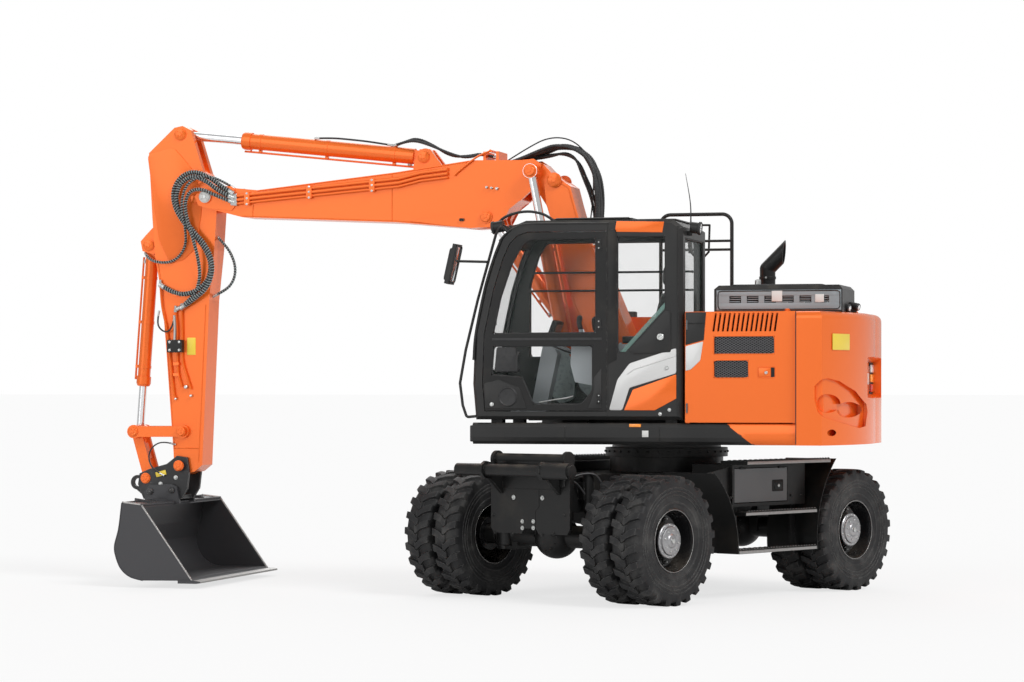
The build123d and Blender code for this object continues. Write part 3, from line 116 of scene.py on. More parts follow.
def square_to(axis: np.ndarray) -> tuple[np.ndarray, np.ndarray]:
    """Two unit vectors square to an axis, right-handed with it."""
    first = unit(np.cross(Z if abs(axis[2]) < 0.9 else X, axis))
    return first, np.cross(axis, first)


def turned(angles: np.ndarray, u: Point, v: Point) -> np.ndarray:
    """Points of a unit circle: cos a u + sin a v."""
    return np.cos(angles)[..., None] * u + np.sin(angles)[..., None] * v


def around(count: int) -> np.ndarray:
    """Evenly spaced angles of a full turn."""
    return np.linspace(0, 2 * np.pi, count, endpoint=False)


def rounded(outline: Sequence[Point], radius: float, steps: int = 4) -> np.ndarray:
    """An outline with each corner rounded: p(t) = (1-t)^2 a + 2t(1-t) corner + t^2 b, with a and b on its two sides.

    A round starts at the radius from its corner, or at 45 % of that side if this is less.

    Args:
        outline: corners, either way round.
        radius: radius of its corners.
        steps: pieces in each corner.

    Returns:
        The new outline.
    """
    p = np.asarray(outline, float)
    ends = []
    for way in (1, -1):
        side = np.roll(p, way, 0) - p
        ends.append(p + side / lengths(side) * np.minimum(radius, 0.45 * lengths(side)))
    t = np.linspace(0, 1, steps + 1)[None, :, None]
    return ((1 - t) ** 2 * ends[0][:, None] + 2 * t * (1 - t) * p[:, None] + t**2 * ends[1][:, None]).reshape(-1, 2)


def quad(left: float, right: float, low: float, high: float, corner: float = 0.0) -> np.ndarray:
    """The four corners of a rectangle, rounded if asked."""
    flat = np.array([(left, low), (right, low), (right, high), (left, high)], float)
    return rounded(flat, corner) if corner else flat


def oblong(half_u: float, half_v: float, corner: float = 0.0) -> np.ndarray:
    """A rectangle about nought, from its half sizes."""
    return quad(-half_u, half_u, -half_v, half_v, corner)


def inset(outline: np.ndarray, distance: float) -> np.ndarray:
    """An anticlockwise outline moved inwards: each point goes along the mean of its two sides' inward normals.

    Args:
        outline: corners, anticlockwise.
        distance: how far each edge moves inwards.

    Returns:
        The new outline.
    """
    side = np.roll(outline, -1, 0) - outline
    side /= np.maximum(lengths(side), TINY**2)
    inward = np.c_[-side[:, 1], side[:, 0]]
    mean = inward + np.roll(inward, 1, 0)
    mean /= np.maximum((mean * inward).sum(1, keepdims=True), 0.5)
    return outline + mean * distance


def area_of(outline: np.ndarray) -> float:
    """Signed area of an outline by the shoelace sum, positive when anticlockwise."""
    x, y = outline.T
    return 0.5 * float((x * np.roll(y, -1) - np.roll(x, -1) * y).sum())


def knob(radius: float, height: float, edge: float = 0.0, base: float = 0.0) -> list[Point]:
    """Profile of a short plug from its base: full radius up to its height, or to a bevelled edge above it."""
    rim = [(height + edge * 0.5, radius - edge)] if edge else []
    return [(base, radius), (height, radius), *rim, (rim[0][0] if rim else height, 0)]


class Shape:
    """Surfaces gathered for one mesh, each with the number of its finish, mat."""

    def __init__(self) -> None:
        """Start with nothing."""
        self.points: list[np.ndarray] = []
        self.faces: list[tuple[int, ...]] = []
        self.finish: list[int] = []
        self.count = 0

    def add(self, points: np.ndarray, faces: Iterable[Iterable[int]], mat: int = 0) -> None:
        """Add points and the faces between them.

        Args:
            points: the points, in order.
            faces: rows of point numbers.
            mat: number of its finish in the piece's list.
        """
        rows = [tuple(int(i) + self.count for i in face) for face in faces]
        self.points.append(np.asarray(points, float).reshape(-1, 3))
        self.faces += rows
        self.finish += [mat] * len(rows)
        self.count += len(self.points[-1])

    def grid(self, rows: np.ndarray, mat: int = 0, around: bool = True, along: bool = False,
             ends: bool = True) -> None:
        """A surface over points of shape (along, around, 3), closed on itself either way, with end faces or not.

        Args:
            rows: the points.
            mat: number of its finish in the piece's list.
            around: whether each row closes.
            along: whether the last row meets the first.
            ends: whether open rows get end faces.
        """
        rows = np.asarray(rows, float)
        n, m = rows.shape[:2]
        i, j = np.meshgrid(np.arange(n if along else n - 1), np.arange(m if around else m - 1), indexing="ij")
        i, j = i.ravel(), j.ravel()
        k, q = (i + 1) % n, (j + 1) % m
        faces = np.c_[i * m + j, i * m + q, k * m + q, k * m + j].tolist()
        if ends and not along and around:
            faces += [list(range(m))[::-1], list(range((n - 1) * m, n * m))]
        self.add(rows, faces, mat)

    def lathe(self, profile: Sequence[Point], origin: Point, axis: Point, mat: int = 0, sides: int = 32,
              turn: float = 0.0) -> None:
        """A body of revolution from (distance along the axis, radius): origin + s axis + r (cos a u + sin a v).

        Args:
            profile: (distance, radius) pairs.
            origin: the point that it starts from.
            axis: the way that it points.
            mat: number of its finish in the piece's list.
            sides: flats round it.
            turn: angle of its first flat.
        """
        n = unit(axis)
        s, r = np.maximum(np.asarray(profile, float), [-np.inf, 1e-5]).T[..., None, None]
        self.grid(np.asarray(origin, float) + s * n + r * turned(around(sides) + turn, *square_to(n))[None], mat)

    def tube(self, path: Sequence[Point], radius: float | np.ndarray, mat: int = 0, sides: int = 12,
             closed: bool = False) -> None:
        """A round tube along points: p(i, a) = c_i + r_i (cos a u_i + sin a v_i), with u_i carried without twist.

        Args:
            path: its points, in order.
            radius: its radius, or one for each point.
            mat: number of its finish in the piece's list.
            sides: flats round it.
            closed: whether its end meets its start.
        """
        c = np.asarray(path, float)
        u, v = (w[:, None] for w in carried(c, closed))
        r = np.broadcast_to(np.asarray(radius, float), len(c))[:, None, None]
        self.grid(c[:, None] + r * turned(around(sides)[None], u, v), mat, along=closed)

    def pipe(self, points: Sequence[Point], count: int, radius: float | np.ndarray, mat: int = 0,
             sides: int = 12) -> None:
        """A tube along a smooth line through a few points."""
        self.tube(spline(points, count), radius, mat, sides)

    def slab(self, outline: Sequence[Point], origin: Point, u: Point, v: Point, thick: float, mat: int = 0,
             bevel: float = 0.0) -> None:
        """A flat (u, v) outline carried along u x v: rings at heights 0, h - b, h - 0.3 b and h, with b the bevel.

        Args:
            outline: (u, v) corners.
            origin: the point that it starts from.
            u: first way in its plane.
            v: second way in its plane.
            thick: its thickness.
            mat: number of its finish in the piece's list.
            bevel: bevel of its front edge.
        """
        p = np.asarray(outline, float)
        p = p if area_of(p) > 0 else p[::-1]
        u, v = unit(u), unit(v)
        levels = ((0, 0), (thick - bevel, 0), (thick - 0.3 * bevel, 0.3 * bevel), (thick, bevel))
        flat = [(inset(p, drawn_in), height) for height, drawn_in in (levels if bevel else ((0, 0), (thick, 0)))]
        self.grid([np.asarray(origin, float) + q[:, :1] * u + q[:, 1:] * v + h * np.cross(u, v) for q, h in flat], mat)

    def block(self, low: Point, high: Point, mat: int = 0, bevel: float = 0.003) -> None:
        """A box between two corners, its top edges bevelled."""
        (x0, y0, z0), (x1, y1, z1) = low, high
        self.slab(quad(x0, x1, y0, y1), (0, 0, z0), X, Y, z1 - z0, mat, bevel)

    def bolt(self, at: Point, axis: Point, radius: float = 0.012, mat: int = 0, washer: bool = True) -> None:
        """A hexagon head on its washer: two short bodies of revolution of six and sixteen sides.

        Args:
            at: centre of the seat.
            axis: the way that it points.
            radius: half the size across its corners.
            mat: number of its finish in the piece's list.
            washer: whether a washer lies under it.
        """
        r = radius
        if washer:
            self.lathe([(-0.002, 0), (-0.002, r * 1.5), (r * 0.25, r * 1.5), (r * 0.28, 0)], at, axis, mat, 16)
        self.lathe([(0, 0), (0, r), (r * 0.9, r), (r * 1.1, r * 0.8), (r * 1.1, 0)], at, axis, mat, 6,
                   turn=float(np.sum(at)) * 7)

    def net(self, low: Point, high: Point, pitch: float, wire: float, origin: Point, u: Point, v: Point,
            mat: int = 0) -> None:
        """Two crossed rows of flat wires over a rectangle of the plane of u and v, at 60 degrees to each other.

        Args:
            low: lowest corner, along u and v.
            high: highest corner.
            pitch: distance between cells.
            wire: width of a bar.
            origin: the point that it starts from.
            u: first way in its plane.
            v: second way in its plane.
            mat: number of its finish in the piece's list.
        """
        n = np.cross(u, v)
        low, high = np.asarray(low, float), np.asarray(high, float)
        span = high - low
        for lean in (0.577, -0.577):
            reach = abs(lean) * span[1]
            for start in np.arange(-reach, span[0] + reach, pitch):
                y = (np.clip(start + lean * span[1] * np.array([0.0, 1.0]), 0, span[0]) - start) / lean
                if abs(y[1] - y[0]) < wire or y.min() < -TINY or y.max() > span[1] + TINY:
                    y = np.clip(y, 0, span[1])
                if abs(y[1] - y[0]) < wire:
                    continue
                ends = [np.asarray(origin, float) + (low[0] + start + lean * q) * u + (low[1] + q) * v for q in y]
                across = unit(np.cross(n, ends[1] - ends[0])) * wire / 2
                flat = [ends[0] - across, ends[1] - across, ends[1] + across, ends[0] + across]
                self.add(flat + [p + n * wire for p in flat],
                         [(3, 2, 1, 0), (4, 5, 6, 7), (0, 1, 5, 4), (1, 2, 6, 5), (2, 3, 7, 6), (3, 0, 4, 7)], mat)


def carried(path: np.ndarray, closed: bool = False) -> tuple[np.ndarray, np.ndarray]:
    """Two unit vectors square to a path at each point, each turned from the last no more than the path turns.

    Args:
        path: its points, in order.
        closed: whether its end meets its start.

    Returns:
        Two unit vectors square to the path and to each other, at every point.
    """
    ahead = np.roll(path, -1, 0) - path if closed else np.gradient(path, axis=0)
    ahead /= lengths(ahead)
    u = [square_to(ahead[0])[0]]
    for before, tangent in zip(ahead, ahead[1:]):
        moved = u[-1] - tangent * (u[-1] @ tangent)
        if np.linalg.norm(moved) < TINY:
            moved = np.cross(np.cross(before, u[-1]), tangent)
        u.append(unit(moved))
    return np.array(u), np.cross(ahead, u)


def arc(centre: Point, radius: float, start: float, end: float, u: Point, v: Point, count: int = 12) -> np.ndarray:
    """Points of an arc, c + r (cos a u + sin a v), from one angle to another in degrees."""
    return np.asarray(centre, float) + radius * turned(np.radians(np.linspace(start, end, count)), u, v)


def spline(points: Sequence[Point], count: int) -> np.ndarray:
    """Points evenly spaced along a blend of cubic pieces through the given points.

    Args:
        points: the points, in order.
        count: how many points to give.

    Returns:
        Points along the line.
    """
    p = np.asarray(points, float)
    q = np.vstack([2 * p[0] - p[1], p, 2 * p[-1] - p[-2]])
    t = np.linspace(0, 1, 16, endpoint=False)[:, None]
    rows = [0.5 * (2 * b + (c - a) * t + (2 * a - 5 * b + 4 * c - d) * t**2 + (3 * b - a - 3 * c + d) * t**3)
            for a, b, c, d in zip(q, q[1:], q[2:], q[3:])]
    return even(np.vstack(rows + [p[-1:]]), count)


def even(path: Sequence[Point], count: int) -> np.ndarray:
    """The path at evenly spaced distances along it.

    Args:
        path: its points, in order.
        count: how many points to give.

    Returns:
        The points, equally far apart.
    """
    path = np.asarray(path, float)
    s = np.r_[0, np.cumsum(lengths(np.diff(path, axis=0)))]
    at = np.linspace(0, s[-1], count)
    return np.c_[tuple(np.interp(at, s, path[:, axis]) for axis in range(3))]


def piece(shape: Shape, name: str, body: str | tuple, finishes: Sequence["Finish"], place: Place = Place.UPPER,
          replaces: Sequence[str] = (), smooth: float = SMOOTH_ANGLE) -> bpy.types.Object:
    """Make a shape an object that rides on a body.

    Args:
        shape: its surfaces, in the frame of the place.
        name: the object's name.
        body: the body that it rides on, or (body, body, start, end) for a piece meant to bend between two; such a
            piece is left unattached, its place baked into its mesh.
        finishes: its finishes, by number.
        place: the frame that it is drawn in.
        replaces: solids that it stands for.
        smooth: edges sharper than this angle stay sharp.

    Returns:
        The object.
    """
    mesh = bpy.data.meshes.new(name)
    mesh.from_pydata(place.put(np.vstack(shape.points)), [], shape.faces)
    mesh.polygons.foreach_set("material_index", np.array(shape.finish, np.int32))
    work = bmesh.new()
    work.from_mesh(mesh)
    bmesh.ops.recalc_face_normals(work, faces=work.faces)
    work.to_mesh(mesh)
    work.free()
    mesh.shade_smooth()
    mesh.set_sharp_from_angle(angle=smooth)
    for finish in finishes:
        mesh.materials.append(finish.material())
    made = bpy.data.objects.new(name, mesh)
    bpy.context.scene.collection.objects.link(made)
    if isinstance(body, str):
        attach(made, body)
    else:
        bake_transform(made)
    if replaces:
        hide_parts(*replaces)
    LOG.info("%s: %d faces", name, len(shape.faces))
    return made


# ---------------------------------------------------------------- finishes
def operator(operation: str, swapped: bool = False) -> Callable[["Value", Any], "Value"]:
    """A Python operator that adds a Math node.

    Args:
        operation: the Math node's operation.
        swapped: whether the value comes second.

    Returns:
        The method.
    """
    def apply(self: "Value", other: Any) -> "Value":
        return self.math(operation, *((other, self) if swapped else (self, other)))
    return apply


class Value:
    """A number in a material, on which Python's operators add Math nodes."""

    def __init__(self, graph: "Graph", socket: bpy.types.NodeSocket) -> None:
        """Wrap a socket of a material's graph."""
        self.graph, self.socket = graph, socket

    def math(self, operation: str, *values: Any) -> "Value":
        """One Math node."""
        return Value(self.graph, self.graph.node("ShaderNodeMath", {"operation": operation}, dict(enumerate(values))))

    __add__ = __radd__ = operator("ADD")
    __mul__ = __rmul__ = operator("MULTIPLY")
    __rsub__ = operator("SUBTRACT", swapped=True)

    def sine(self) -> "Value":
        """Its sine."""
        return self.math("SINE", self)

    def ramp(self, low: float, high: float) -> "Value":
        """Nought below low, one above high, smooth between."""
        return Value(self.graph, self.graph.node("ShaderNodeMapRange", {"interpolation_type": "SMOOTHSTEP",
                                                                        "clamp": True},
                                                 {0: self, 1: low, 2: high, 3: 0.0, 4: 1.0}))


class Graph:
    """The nodes of one material."""

    def __init__(self, name: str) -> None:
        """Start a material with an output and nothing else."""
        self.material = bpy.data.materials.new(name)
        self.material.use_nodes = True
        self.tree = self.material.node_tree
        self.tree.nodes.clear()
        self.output = self.tree.nodes.new("ShaderNodeOutputMaterial")
        self.place = self.node("ShaderNodeTexCoord", socket="Object")

    def node(self, kind: str, settings: dict | None = None, inputs: dict | None = None,
             socket: str | int = 0) -> bpy.types.NodeSocket:
        """Add a node, with its properties set before its sockets are filled or linked, and give one of its outputs.

        Args:
            kind: the node's type.
            settings: its settings, set first.
            inputs: values or links by socket.
            socket: the output to give.

        Returns:
            The output socket.
        """
        made = self.tree.nodes.new(kind)
        for key, value in (settings or {}).items():
            setattr(made, key, value)
        for key, value in (inputs or {}).items():
            source = value.socket if isinstance(value, Value) else value
            if isinstance(source, bpy.types.NodeSocket):
                self.tree.links.new(source, made.inputs[key])
            else:
                made.inputs[key].default_value = source
        return made.outputs[socket]

    def noise(self, scale: float, detail: float = 3.0, rough: float = 0.55, stretch: Point | None = None) -> Value:
        """Soft random variation, about nought to one, in object coordinates that may be stretched along each axis.

        Args:
            scale: cells in a metre.
            detail: octaves.
            rough: share of the finer octaves.
            stretch: scale along each axis.

        Returns:
            The noise, about 0 to 1.
        """
        place = self.place
        if stretch:
            place = self.node("ShaderNodeMapping", None, {"Vector": place, "Scale": stretch})
        return Value(self, self.node("ShaderNodeTexNoise", None, {"Vector": place, "Scale": scale, "Detail": detail,
                                                                  "Roughness": rough}))

    def part(self, vector: Any, axis: str) -> Value:
        """One coordinate of a vector."""
        return Value(self, self.node("ShaderNodeSeparateXYZ", None, {0: vector}, axis))

    def mix(self, first: Any, second: Any, factor: Any) -> bpy.types.NodeSocket:
        """One colour over another."""
        first, second = ((*c, 1.0) if isinstance(c, tuple) else c for c in (first, second))
        return self.node("ShaderNodeMix", {"data_type": "RGBA"}, {0: factor, 6: first, 7: second}, 2)

    def edges(self, radius: float) -> tuple[bpy.types.NodeSocket, Value]:
        """A normal rounded at sharp edges, and a mask that is one at them."""
        soft = self.node("ShaderNodeBevel", {"samples": 4}, {"Radius": radius})
        flat = self.node("ShaderNodeNewGeometry", socket="Normal")
        same = self.node("ShaderNodeVectorMath", {"operation": "DOT_PRODUCT"}, {0: soft, 1: flat}, "Value")
        return soft, 1.0 - Value(self, same).ramp(0.86, 0.985)

    def lying(self, low: float) -> Value:
        """How level a face lies, from nought at the given height of its normal to one where it looks straight up."""
        return self.part(self.node("ShaderNodeNewGeometry", socket="Normal"), "Z").ramp(low, 1.0)

    def bump(self, height: Value, strength: float, distance: float, normal: Any = None) -> bpy.types.NodeSocket:
        """A normal that follows a height."""
        inputs = {"Height": height, "Strength": strength, "Distance": distance}
        return self.node("ShaderNodeBump", None, inputs | ({"Normal": normal} if normal else {}))

    def shade(self, **inputs: Any) -> bpy.types.Material:
        """Close the graph with its surface; names of sockets have _ for a space."""
        named = {key.replace("_", " "): (*value, 1.0) if "Color" in key and isinstance(value, tuple) else value
                 for key, value in inputs.items()}
        self.tree.links.new(self.node("ShaderNodeBsdfPrincipled", None, named), self.output.inputs[0])
        return self.material


@dataclass(frozen=True)
class Look:
    """A finish: its name, its main colour and how its nodes are made."""

    name: str
    colour: Colour

    def share(self, share: float) -> Colour:
        """Its colour made lighter or darker."""
        return tuple(min(1.0, c * share) for c in self.colour)


@dataclass(frozen=True)
class Paint(Look):
    """A sprayed finish with orange peel, faded patches, dust where it lies and rubbed edges."""

    rough: float = 0.32
    metal: float = 0.0
    coat: float = 0.25
    rubbed: Colour = (0.25, 0.24, 0.23)
    wear: float = 0.25
    dust: float = 0.12
    peel: float = 0.04
    patch: float = 0.12
    gloss: float = 0.28

    def make(self) -> bpy.types.Material:
        """The material."""
        g = Graph(self.name)
        normal, edge = g.edges(0.006)
        broad, fine = g.noise(1.1, 2.0), g.noise(17.0, 6.0, 0.62)
        colour = g.mix(self.colour, self.share(1 - 1.6 * self.patch), broad.ramp(0.42, 0.72))
        colour = g.mix(colour, self.share(1 + self.patch), fine.ramp(0.55, 0.8) * 0.6)
        dust = g.lying(0.3) * g.noise(6.0, 5.0).ramp(0.35, 0.75) * self.dust
        dust = dust + g.noise(3.0, 4.0).ramp(0.5, 0.8) * (0.25 * self.dust)
        rub = edge * g.noise(28.0, 5.0, 0.7).ramp(0.5, 0.62) * self.wear
        colour = g.mix(g.mix(colour, (0.36, 0.30, 0.23), dust), self.rubbed, rub)
        return g.shade(Base_Color=colour, Roughness=fine * 0.12 + (self.rough - 0.06) + dust * 0.5 + rub * 0.2,
                       Metallic=self.metal, Coat_Weight=self.coat, Coat_Roughness=0.06, Specular_IOR_Level=self.gloss,
                       Normal=g.bump(g.noise(160.0, 2.0), self.peel, 0.002, normal))


@dataclass(frozen=True)
class Moulding(Look):
    """A grained plastic or rubber moulding, with dust where it lies and a painted highlight evenly along its sharp
    edges.
    """

    rough: float = 0.55

    def make(self) -> bpy.types.Material:
        """The material."""
        g = Graph(self.name)
        normal, edge = g.edges(0.004)
        fine = g.noise(30.0, 5.0)
        colour = g.mix(self.colour, self.share(0.62), fine.ramp(0.45, 0.75))
        dust = g.lying(0.2) * g.noise(9.0, 4.0).ramp(0.35, 0.7) * 0.12
        # Dust where it lies, then every sharp edge lightened evenly: a painted highlight along the edges.
        colour = g.mix(g.mix(colour, (0.33, 0.30, 0.26), dust), self.share(2.2), edge * 0.35)
        return g.shade(Base_Color=colour, Roughness=fine * 0.15 + (self.rough - 0.07) + dust * 0.3,
                       Normal=g.bump(g.noise(900.0, 2.0), 0.25, 0.0006, normal))


@dataclass(frozen=True)
class Metal(Look):
    """Bare or plated metal with brushed streaks and spots, and a painted highlight evenly along its sharp edges."""

    rough: float = 0.2
    spot: float = 0.15

    def make(self) -> bpy.types.Material:
        """The material."""
        g = Graph(self.name)
        normal, edge = g.edges(0.003)
        streaks, spots = g.noise(6.0, 4.0, 0.6, (30.0, 30.0, 30.0)), g.noise(42.0, 5.0, 0.7)
        colour = g.mix(self.colour, self.share(0.55), spots.ramp(0.5, 0.78) * (self.spot * 3))
        # Every sharp edge is lightened evenly: a painted highlight along the edges.
        return g.shade(Base_Color=g.mix(colour, self.share(1.25), edge * 0.5), Metallic=0.92,
                       Roughness=streaks * 0.16 + (self.rough - 0.08), Normal=g.bump(streaks, 0.06, 0.001, normal))


@dataclass(frozen=True)
class WornSteel(Look):
    """Painted steel rubbed bright at its edges and scratched on its faces, with rust in the scratches."""

    colour: Colour = (0.022, 0.022, 0.023)
    edge: float = 0.012

    def make(self) -> bpy.types.Material:
        """The material."""
        g = Graph(self.name)
        normal, edge = g.edges(self.edge)
        scratch, blotch = g.noise(4.0, 7.0, 0.75, (2.0, 1.2, 16.0)), g.noise(2.2, 6.0, 0.65)
        colour = g.mix(self.colour, self.share(2.6), blotch.ramp(0.4, 0.75))
        bare = scratch.ramp(0.60, 0.74) * 0.35 + edge * g.noise(20.0, 5.0).ramp(0.3, 0.5) * 0.75
        colour = g.mix(colour, (0.36, 0.35, 0.34), bare)
        colour = g.mix(colour, (0.11, 0.06, 0.035), g.noise(11.0, 6.0, 0.7).ramp(0.62, 0.8) * 0.3)
        return g.shade(Base_Color=colour, Metallic=bare * 0.85, Roughness=blotch * 0.25 + 0.36,
                       Normal=g.bump(scratch + g.noise(90.0, 4.0) * 0.3, 0.12, 0.003, normal))


@dataclass(frozen=True)
class Rubber(Look):
    """Tyre rubber, lighter where it is dusty in the grooves and rubbed on the lugs."""

    colour: Colour = (0.014, 0.014, 0.015)

    def make(self) -> bpy.types.Material:
        """The material."""
        g = Graph(self.name)
        normal, edge = g.edges(0.007)
        dirt, fine = g.noise(5.0, 6.0, 0.65), g.noise(60.0, 5.0, 0.7)
        colour = g.mix(self.colour, (0.075, 0.073, 0.070), dirt.ramp(0.42, 0.78) * 0.8)
        colour = g.mix(colour, (0.16, 0.158, 0.152), edge * fine.ramp(0.35, 0.65) * 0.75)
        return g.shade(Base_Color=colour, Roughness=dirt * 0.25 + 0.42, Specular_IOR_Level=0.3,
                       Normal=g.bump(fine, 0.22, 0.003, normal))


@dataclass(frozen=True)
class Pane(Look):
    """Tinted safety glass, clearer face on than at a slant, with a film of dust."""

    colour: Colour = (0.05, 0.075, 0.065)
    clear: float = 0.05

    def make(self) -> bpy.types.Material:
        """The material."""
        g = Graph(self.name)
        slant = Value(g, g.node("ShaderNodeLayerWeight", None, {"Blend": 0.25}, "Facing"))
        film = g.noise(3.0, 5.0).ramp(0.4, 0.8)
        return g.shade(Base_Color=g.mix(self.colour, (0.30, 0.32, 0.31), film * 0.3), Roughness=film * 0.06 + 0.03,
                       Alpha=film * 0.02 + slant * 0.30 + self.clear, Specular_IOR_Level=0.9)


@dataclass(frozen=True)
class Lens(Look):
    """A lamp's lens with fluting under its surface and a faint glow of its own colour. On the amber reflectors that
    share the amber lens, the glow is painted light.
    """

    glow: float = 0.0

    def make(self) -> bpy.types.Material:
        """The material."""
        g = Graph(self.name)
        flutes = (g.part(g.place, "Z") * 520.0).sine() + (g.part(g.place, "X") * 520.0).sine()
        colour = g.mix(self.colour, self.share(0.45), flutes.ramp(-0.2, 1.4))
        colour = g.mix(colour, self.share(1.3), g.noise(40.0, 3.0).ramp(0.5, 0.8) * 0.5)
        return g.shade(Base_Color=colour, Roughness=g.noise(25.0).ramp(0.3, 0.8) * 0.08 + 0.05, Coat_Weight=1.0,
                       Coat_Roughness=0.03, Normal=g.bump(flutes, 0.3, 0.002), Emission_Color=self.colour,
                       Emission_Strength=self.glow)


@dataclass(frozen=True)
class Cloth(Look):
    """Woven seat cloth: two sets of threads that cross, from the sines of two coordinates."""

    colour: Colour = (0.030, 0.033, 0.032)
    pitch: float = 0.0035

    def make(self) -> bpy.types.Material:
        """The material."""
        g = Graph(self.name)
        turns = 2 * np.pi / self.pitch
        warp = (g.part(g.place, "Y") * turns).sine()
        weft = ((g.part(g.place, "X") + g.part(g.place, "Z")) * (turns * 0.7)).sine()
        weave, rubbed = (warp * weft) * 0.5 + 0.5, g.noise(7.0, 5.0).ramp(0.4, 0.75)
        colour = g.mix(g.mix(self.colour, self.share(2.4), weave * 0.6), self.share(3.2), rubbed * 0.3)
        return g.shade(Base_Color=colour, Roughness=rubbed * 0.1 + 0.82, Sheen_Weight=0.35, Sheen_Roughness=0.5,
                       Normal=g.bump(weave, 0.5, 0.0012))


@dataclass(frozen=True)
class Hide(Look):
    """Wound hose cover: its ridges come from the mesh, and this gives the scuffed rubber."""

    colour: Colour = (0.016, 0.016, 0.017)

    def make(self) -> bpy.types.Material:
        """The material."""
        g = Graph(self.name)
        scuff, fine = g.noise(12.0, 5.0, 0.65), g.noise(220.0, 3.0)
        return g.shade(Base_Color=g.mix(self.colour, self.share(3.4), scuff.ramp(0.45, 0.8) * 0.7),
                       Roughness=scuff * 0.22 + 0.34, Normal=g.bump(fine, 0.2, 0.0008))


class Finish(Enum):
    """Every finish on the machine."""

    ORANGE = Paint("orange_paint", (0.76, 0.082, 0.003), rough=0.42, coat=0.05, rubbed=(0.3, 0.12, 0.06), wear=0.35,
        dust=0.03, gloss=0.22)
    CHARCOAL = Paint("charcoal_paint", (0.022, 0.022, 0.022), rough=0.38, coat=0.08, peel=0.06, patch=0.2)
    SATIN = Paint("satin_black_paint", (0.011, 0.011, 0.011), rough=0.42, coat=0.06, dust=0.18, patch=0.25, wear=0.6)
    SILVER = Paint("silver_paint", (0.66, 0.66, 0.655), rough=0.3, metal=0.15, coat=0.4, patch=0.06, dust=0.05)
    LID_GREY = Paint("lid_grey_paint", (0.13, 0.13, 0.132), rough=0.4, metal=0.3, patch=0.1)
    YELLOW = Paint("yellow_plate", (0.84, 0.62, 0.06), rough=0.35, patch=0.05, dust=0.05)
    WHITE = Paint("white_plate", (0.72, 0.72, 0.7), rough=0.35, patch=0.05, dust=0.05)
    HOOD_GREY = Paint("hood_grey_paint", (0.3, 0.34, 0.36), rough=0.4, metal=0.2, patch=0.1)
    ENGINE = Paint("engine_grey", (0.16, 0.17, 0.17), rough=0.5, dust=0.3)
    WORN = WornSteel("bucket_steel")
    COUPLER = WornSteel("coupler_steel", (0.014, 0.014, 0.015), edge=0.006)
    # Bright metal for worn edges on the bucket and the steps, and for thin rings that are painted highlights on the
    # rims.
    BRIGHT_EDGE = Metal("worn_edge_and_painted_highlight", (0.42, 0.41, 0.4), 0.42, 0.3)
    RUBBER = Rubber("tyre_rubber")
    RIM = Paint("rim_black_paint", (0.01, 0.01, 0.011), rough=0.24, coat=0.5, dust=0.15, wear=0.5)
    HUB = Metal("hub_steel", (0.42, 0.42, 0.43), 0.36, 0.4)
    CHROME = Metal("chrome_rod", (0.86, 0.87, 0.88), 0.14, 0.05)
    ZINC = Metal("zinc_fitting", (0.6, 0.61, 0.6), 0.32, 0.2)
    PLASTIC = Moulding("black_plastic", (0.022, 0.022, 0.023))
    GREY_PLASTIC = Moulding("grey_plastic", (0.12, 0.13, 0.135), 0.5)
    # Pale plastic of the cab's linings and the hoses' spiral guards. On the guards its pale colour also stands in for
    # the highlights along the spiral: a painted highlight.
    PALE_PLASTIC = Moulding("pale_plastic", (0.34, 0.4, 0.4), 0.45)
    RED = Moulding("red_plastic", (0.55, 0.03, 0.02), 0.4)
    # Near-black moulding that paints shade: dark sheets and patches behind openings and in recesses where there is
    # only shade. It also draws dark joint lines.
    DARK = Moulding("painted_shade_and_joint_black", (0.006, 0.006, 0.006), 0.7)
    GLASS = Pane("tinted_glass")
    GREEN_GLASS = Pane("green_glass", (0.16, 0.3, 0.26), 0.62)
    MIRROR = Metal("mirror_glass", (0.8, 0.82, 0.83), 0.1, 0.02)
    AMBER = Lens("amber_lens", (0.95, 0.3, 0.02), 0.25)
    CLEAR = Lens("clear_lens", (0.8, 0.82, 0.82), 0.1)
    RED_LENS = Lens("red_lens", (0.62, 0.02, 0.015), 0.1)
    CLOTH = Cloth("seat_cloth")
    HOSE = Hide("hose_cover")

    def material(self) -> bpy.types.Material:
        """Its material, made once."""
        return bpy.data.materials.get(self.value.name) or self.value.make()


SOLID_FINISHES = {  # finish and slot of each solid that shows as it is
    (Finish.ORANGE, "orange_paint"): (
        "base_boom", "front_boom", "arm", "lift_barrel", "fold_barrel", "stick_barrel", "tip_barrel", "rocker",
        "tip_link", "side_door", "engine_bay", "counterweight", "fuel_tank", "boom_pipes"),
    (Finish.CHARCOAL, "black_paint"): (
        "cab_shell", "side_skirts", "engine_hood", "upper_frame", "handrails", "mirrors", "front_locker",
        "work_lamps"),
    (Finish.SATIN, "black_paint"): (
        "chassis_frame", "slew_ring", "front_plate", "front_tube", "front_axle", "rear_axle", "drive_shaft",
        "toolboxes", "steps", "mudguards", "knuckle_left", "knuckle_right", "exhaust_stack", "radiator", "cab_door"),
    (Finish.LID_GREY, None): ("toolbox_lid_left", "toolbox_lid_right"),
    (Finish.WORN, "bucket_steel"): ("bucket",),
    (Finish.COUPLER, "black_paint"): ("quick_coupler",),
    (Finish.RIM, "rim_black"): ("rims_front_left", "rims_front_right", "rims_rear_left", "rims_rear_right"),
    (Finish.RUBBER, "tyre"): ("tyres_front_left", "tyres_front_right", "tyres_rear_left", "tyres_rear_right"),
    (Finish.CHROME, "chrome"): ("lift_rod", "fold_rod", "stick_rod", "tip_rod"),
    (Finish.ENGINE, "engine_grey"): ("engine",),
    (Finish.GLASS, "glass"): ("cab_glass", "door_glass"),
    (Finish.GREY_PLASTIC, "grey_plastic"): ("cab_console",),
    (Finish.CLOTH, "seat_fabric"): ("cab_seat",),
}


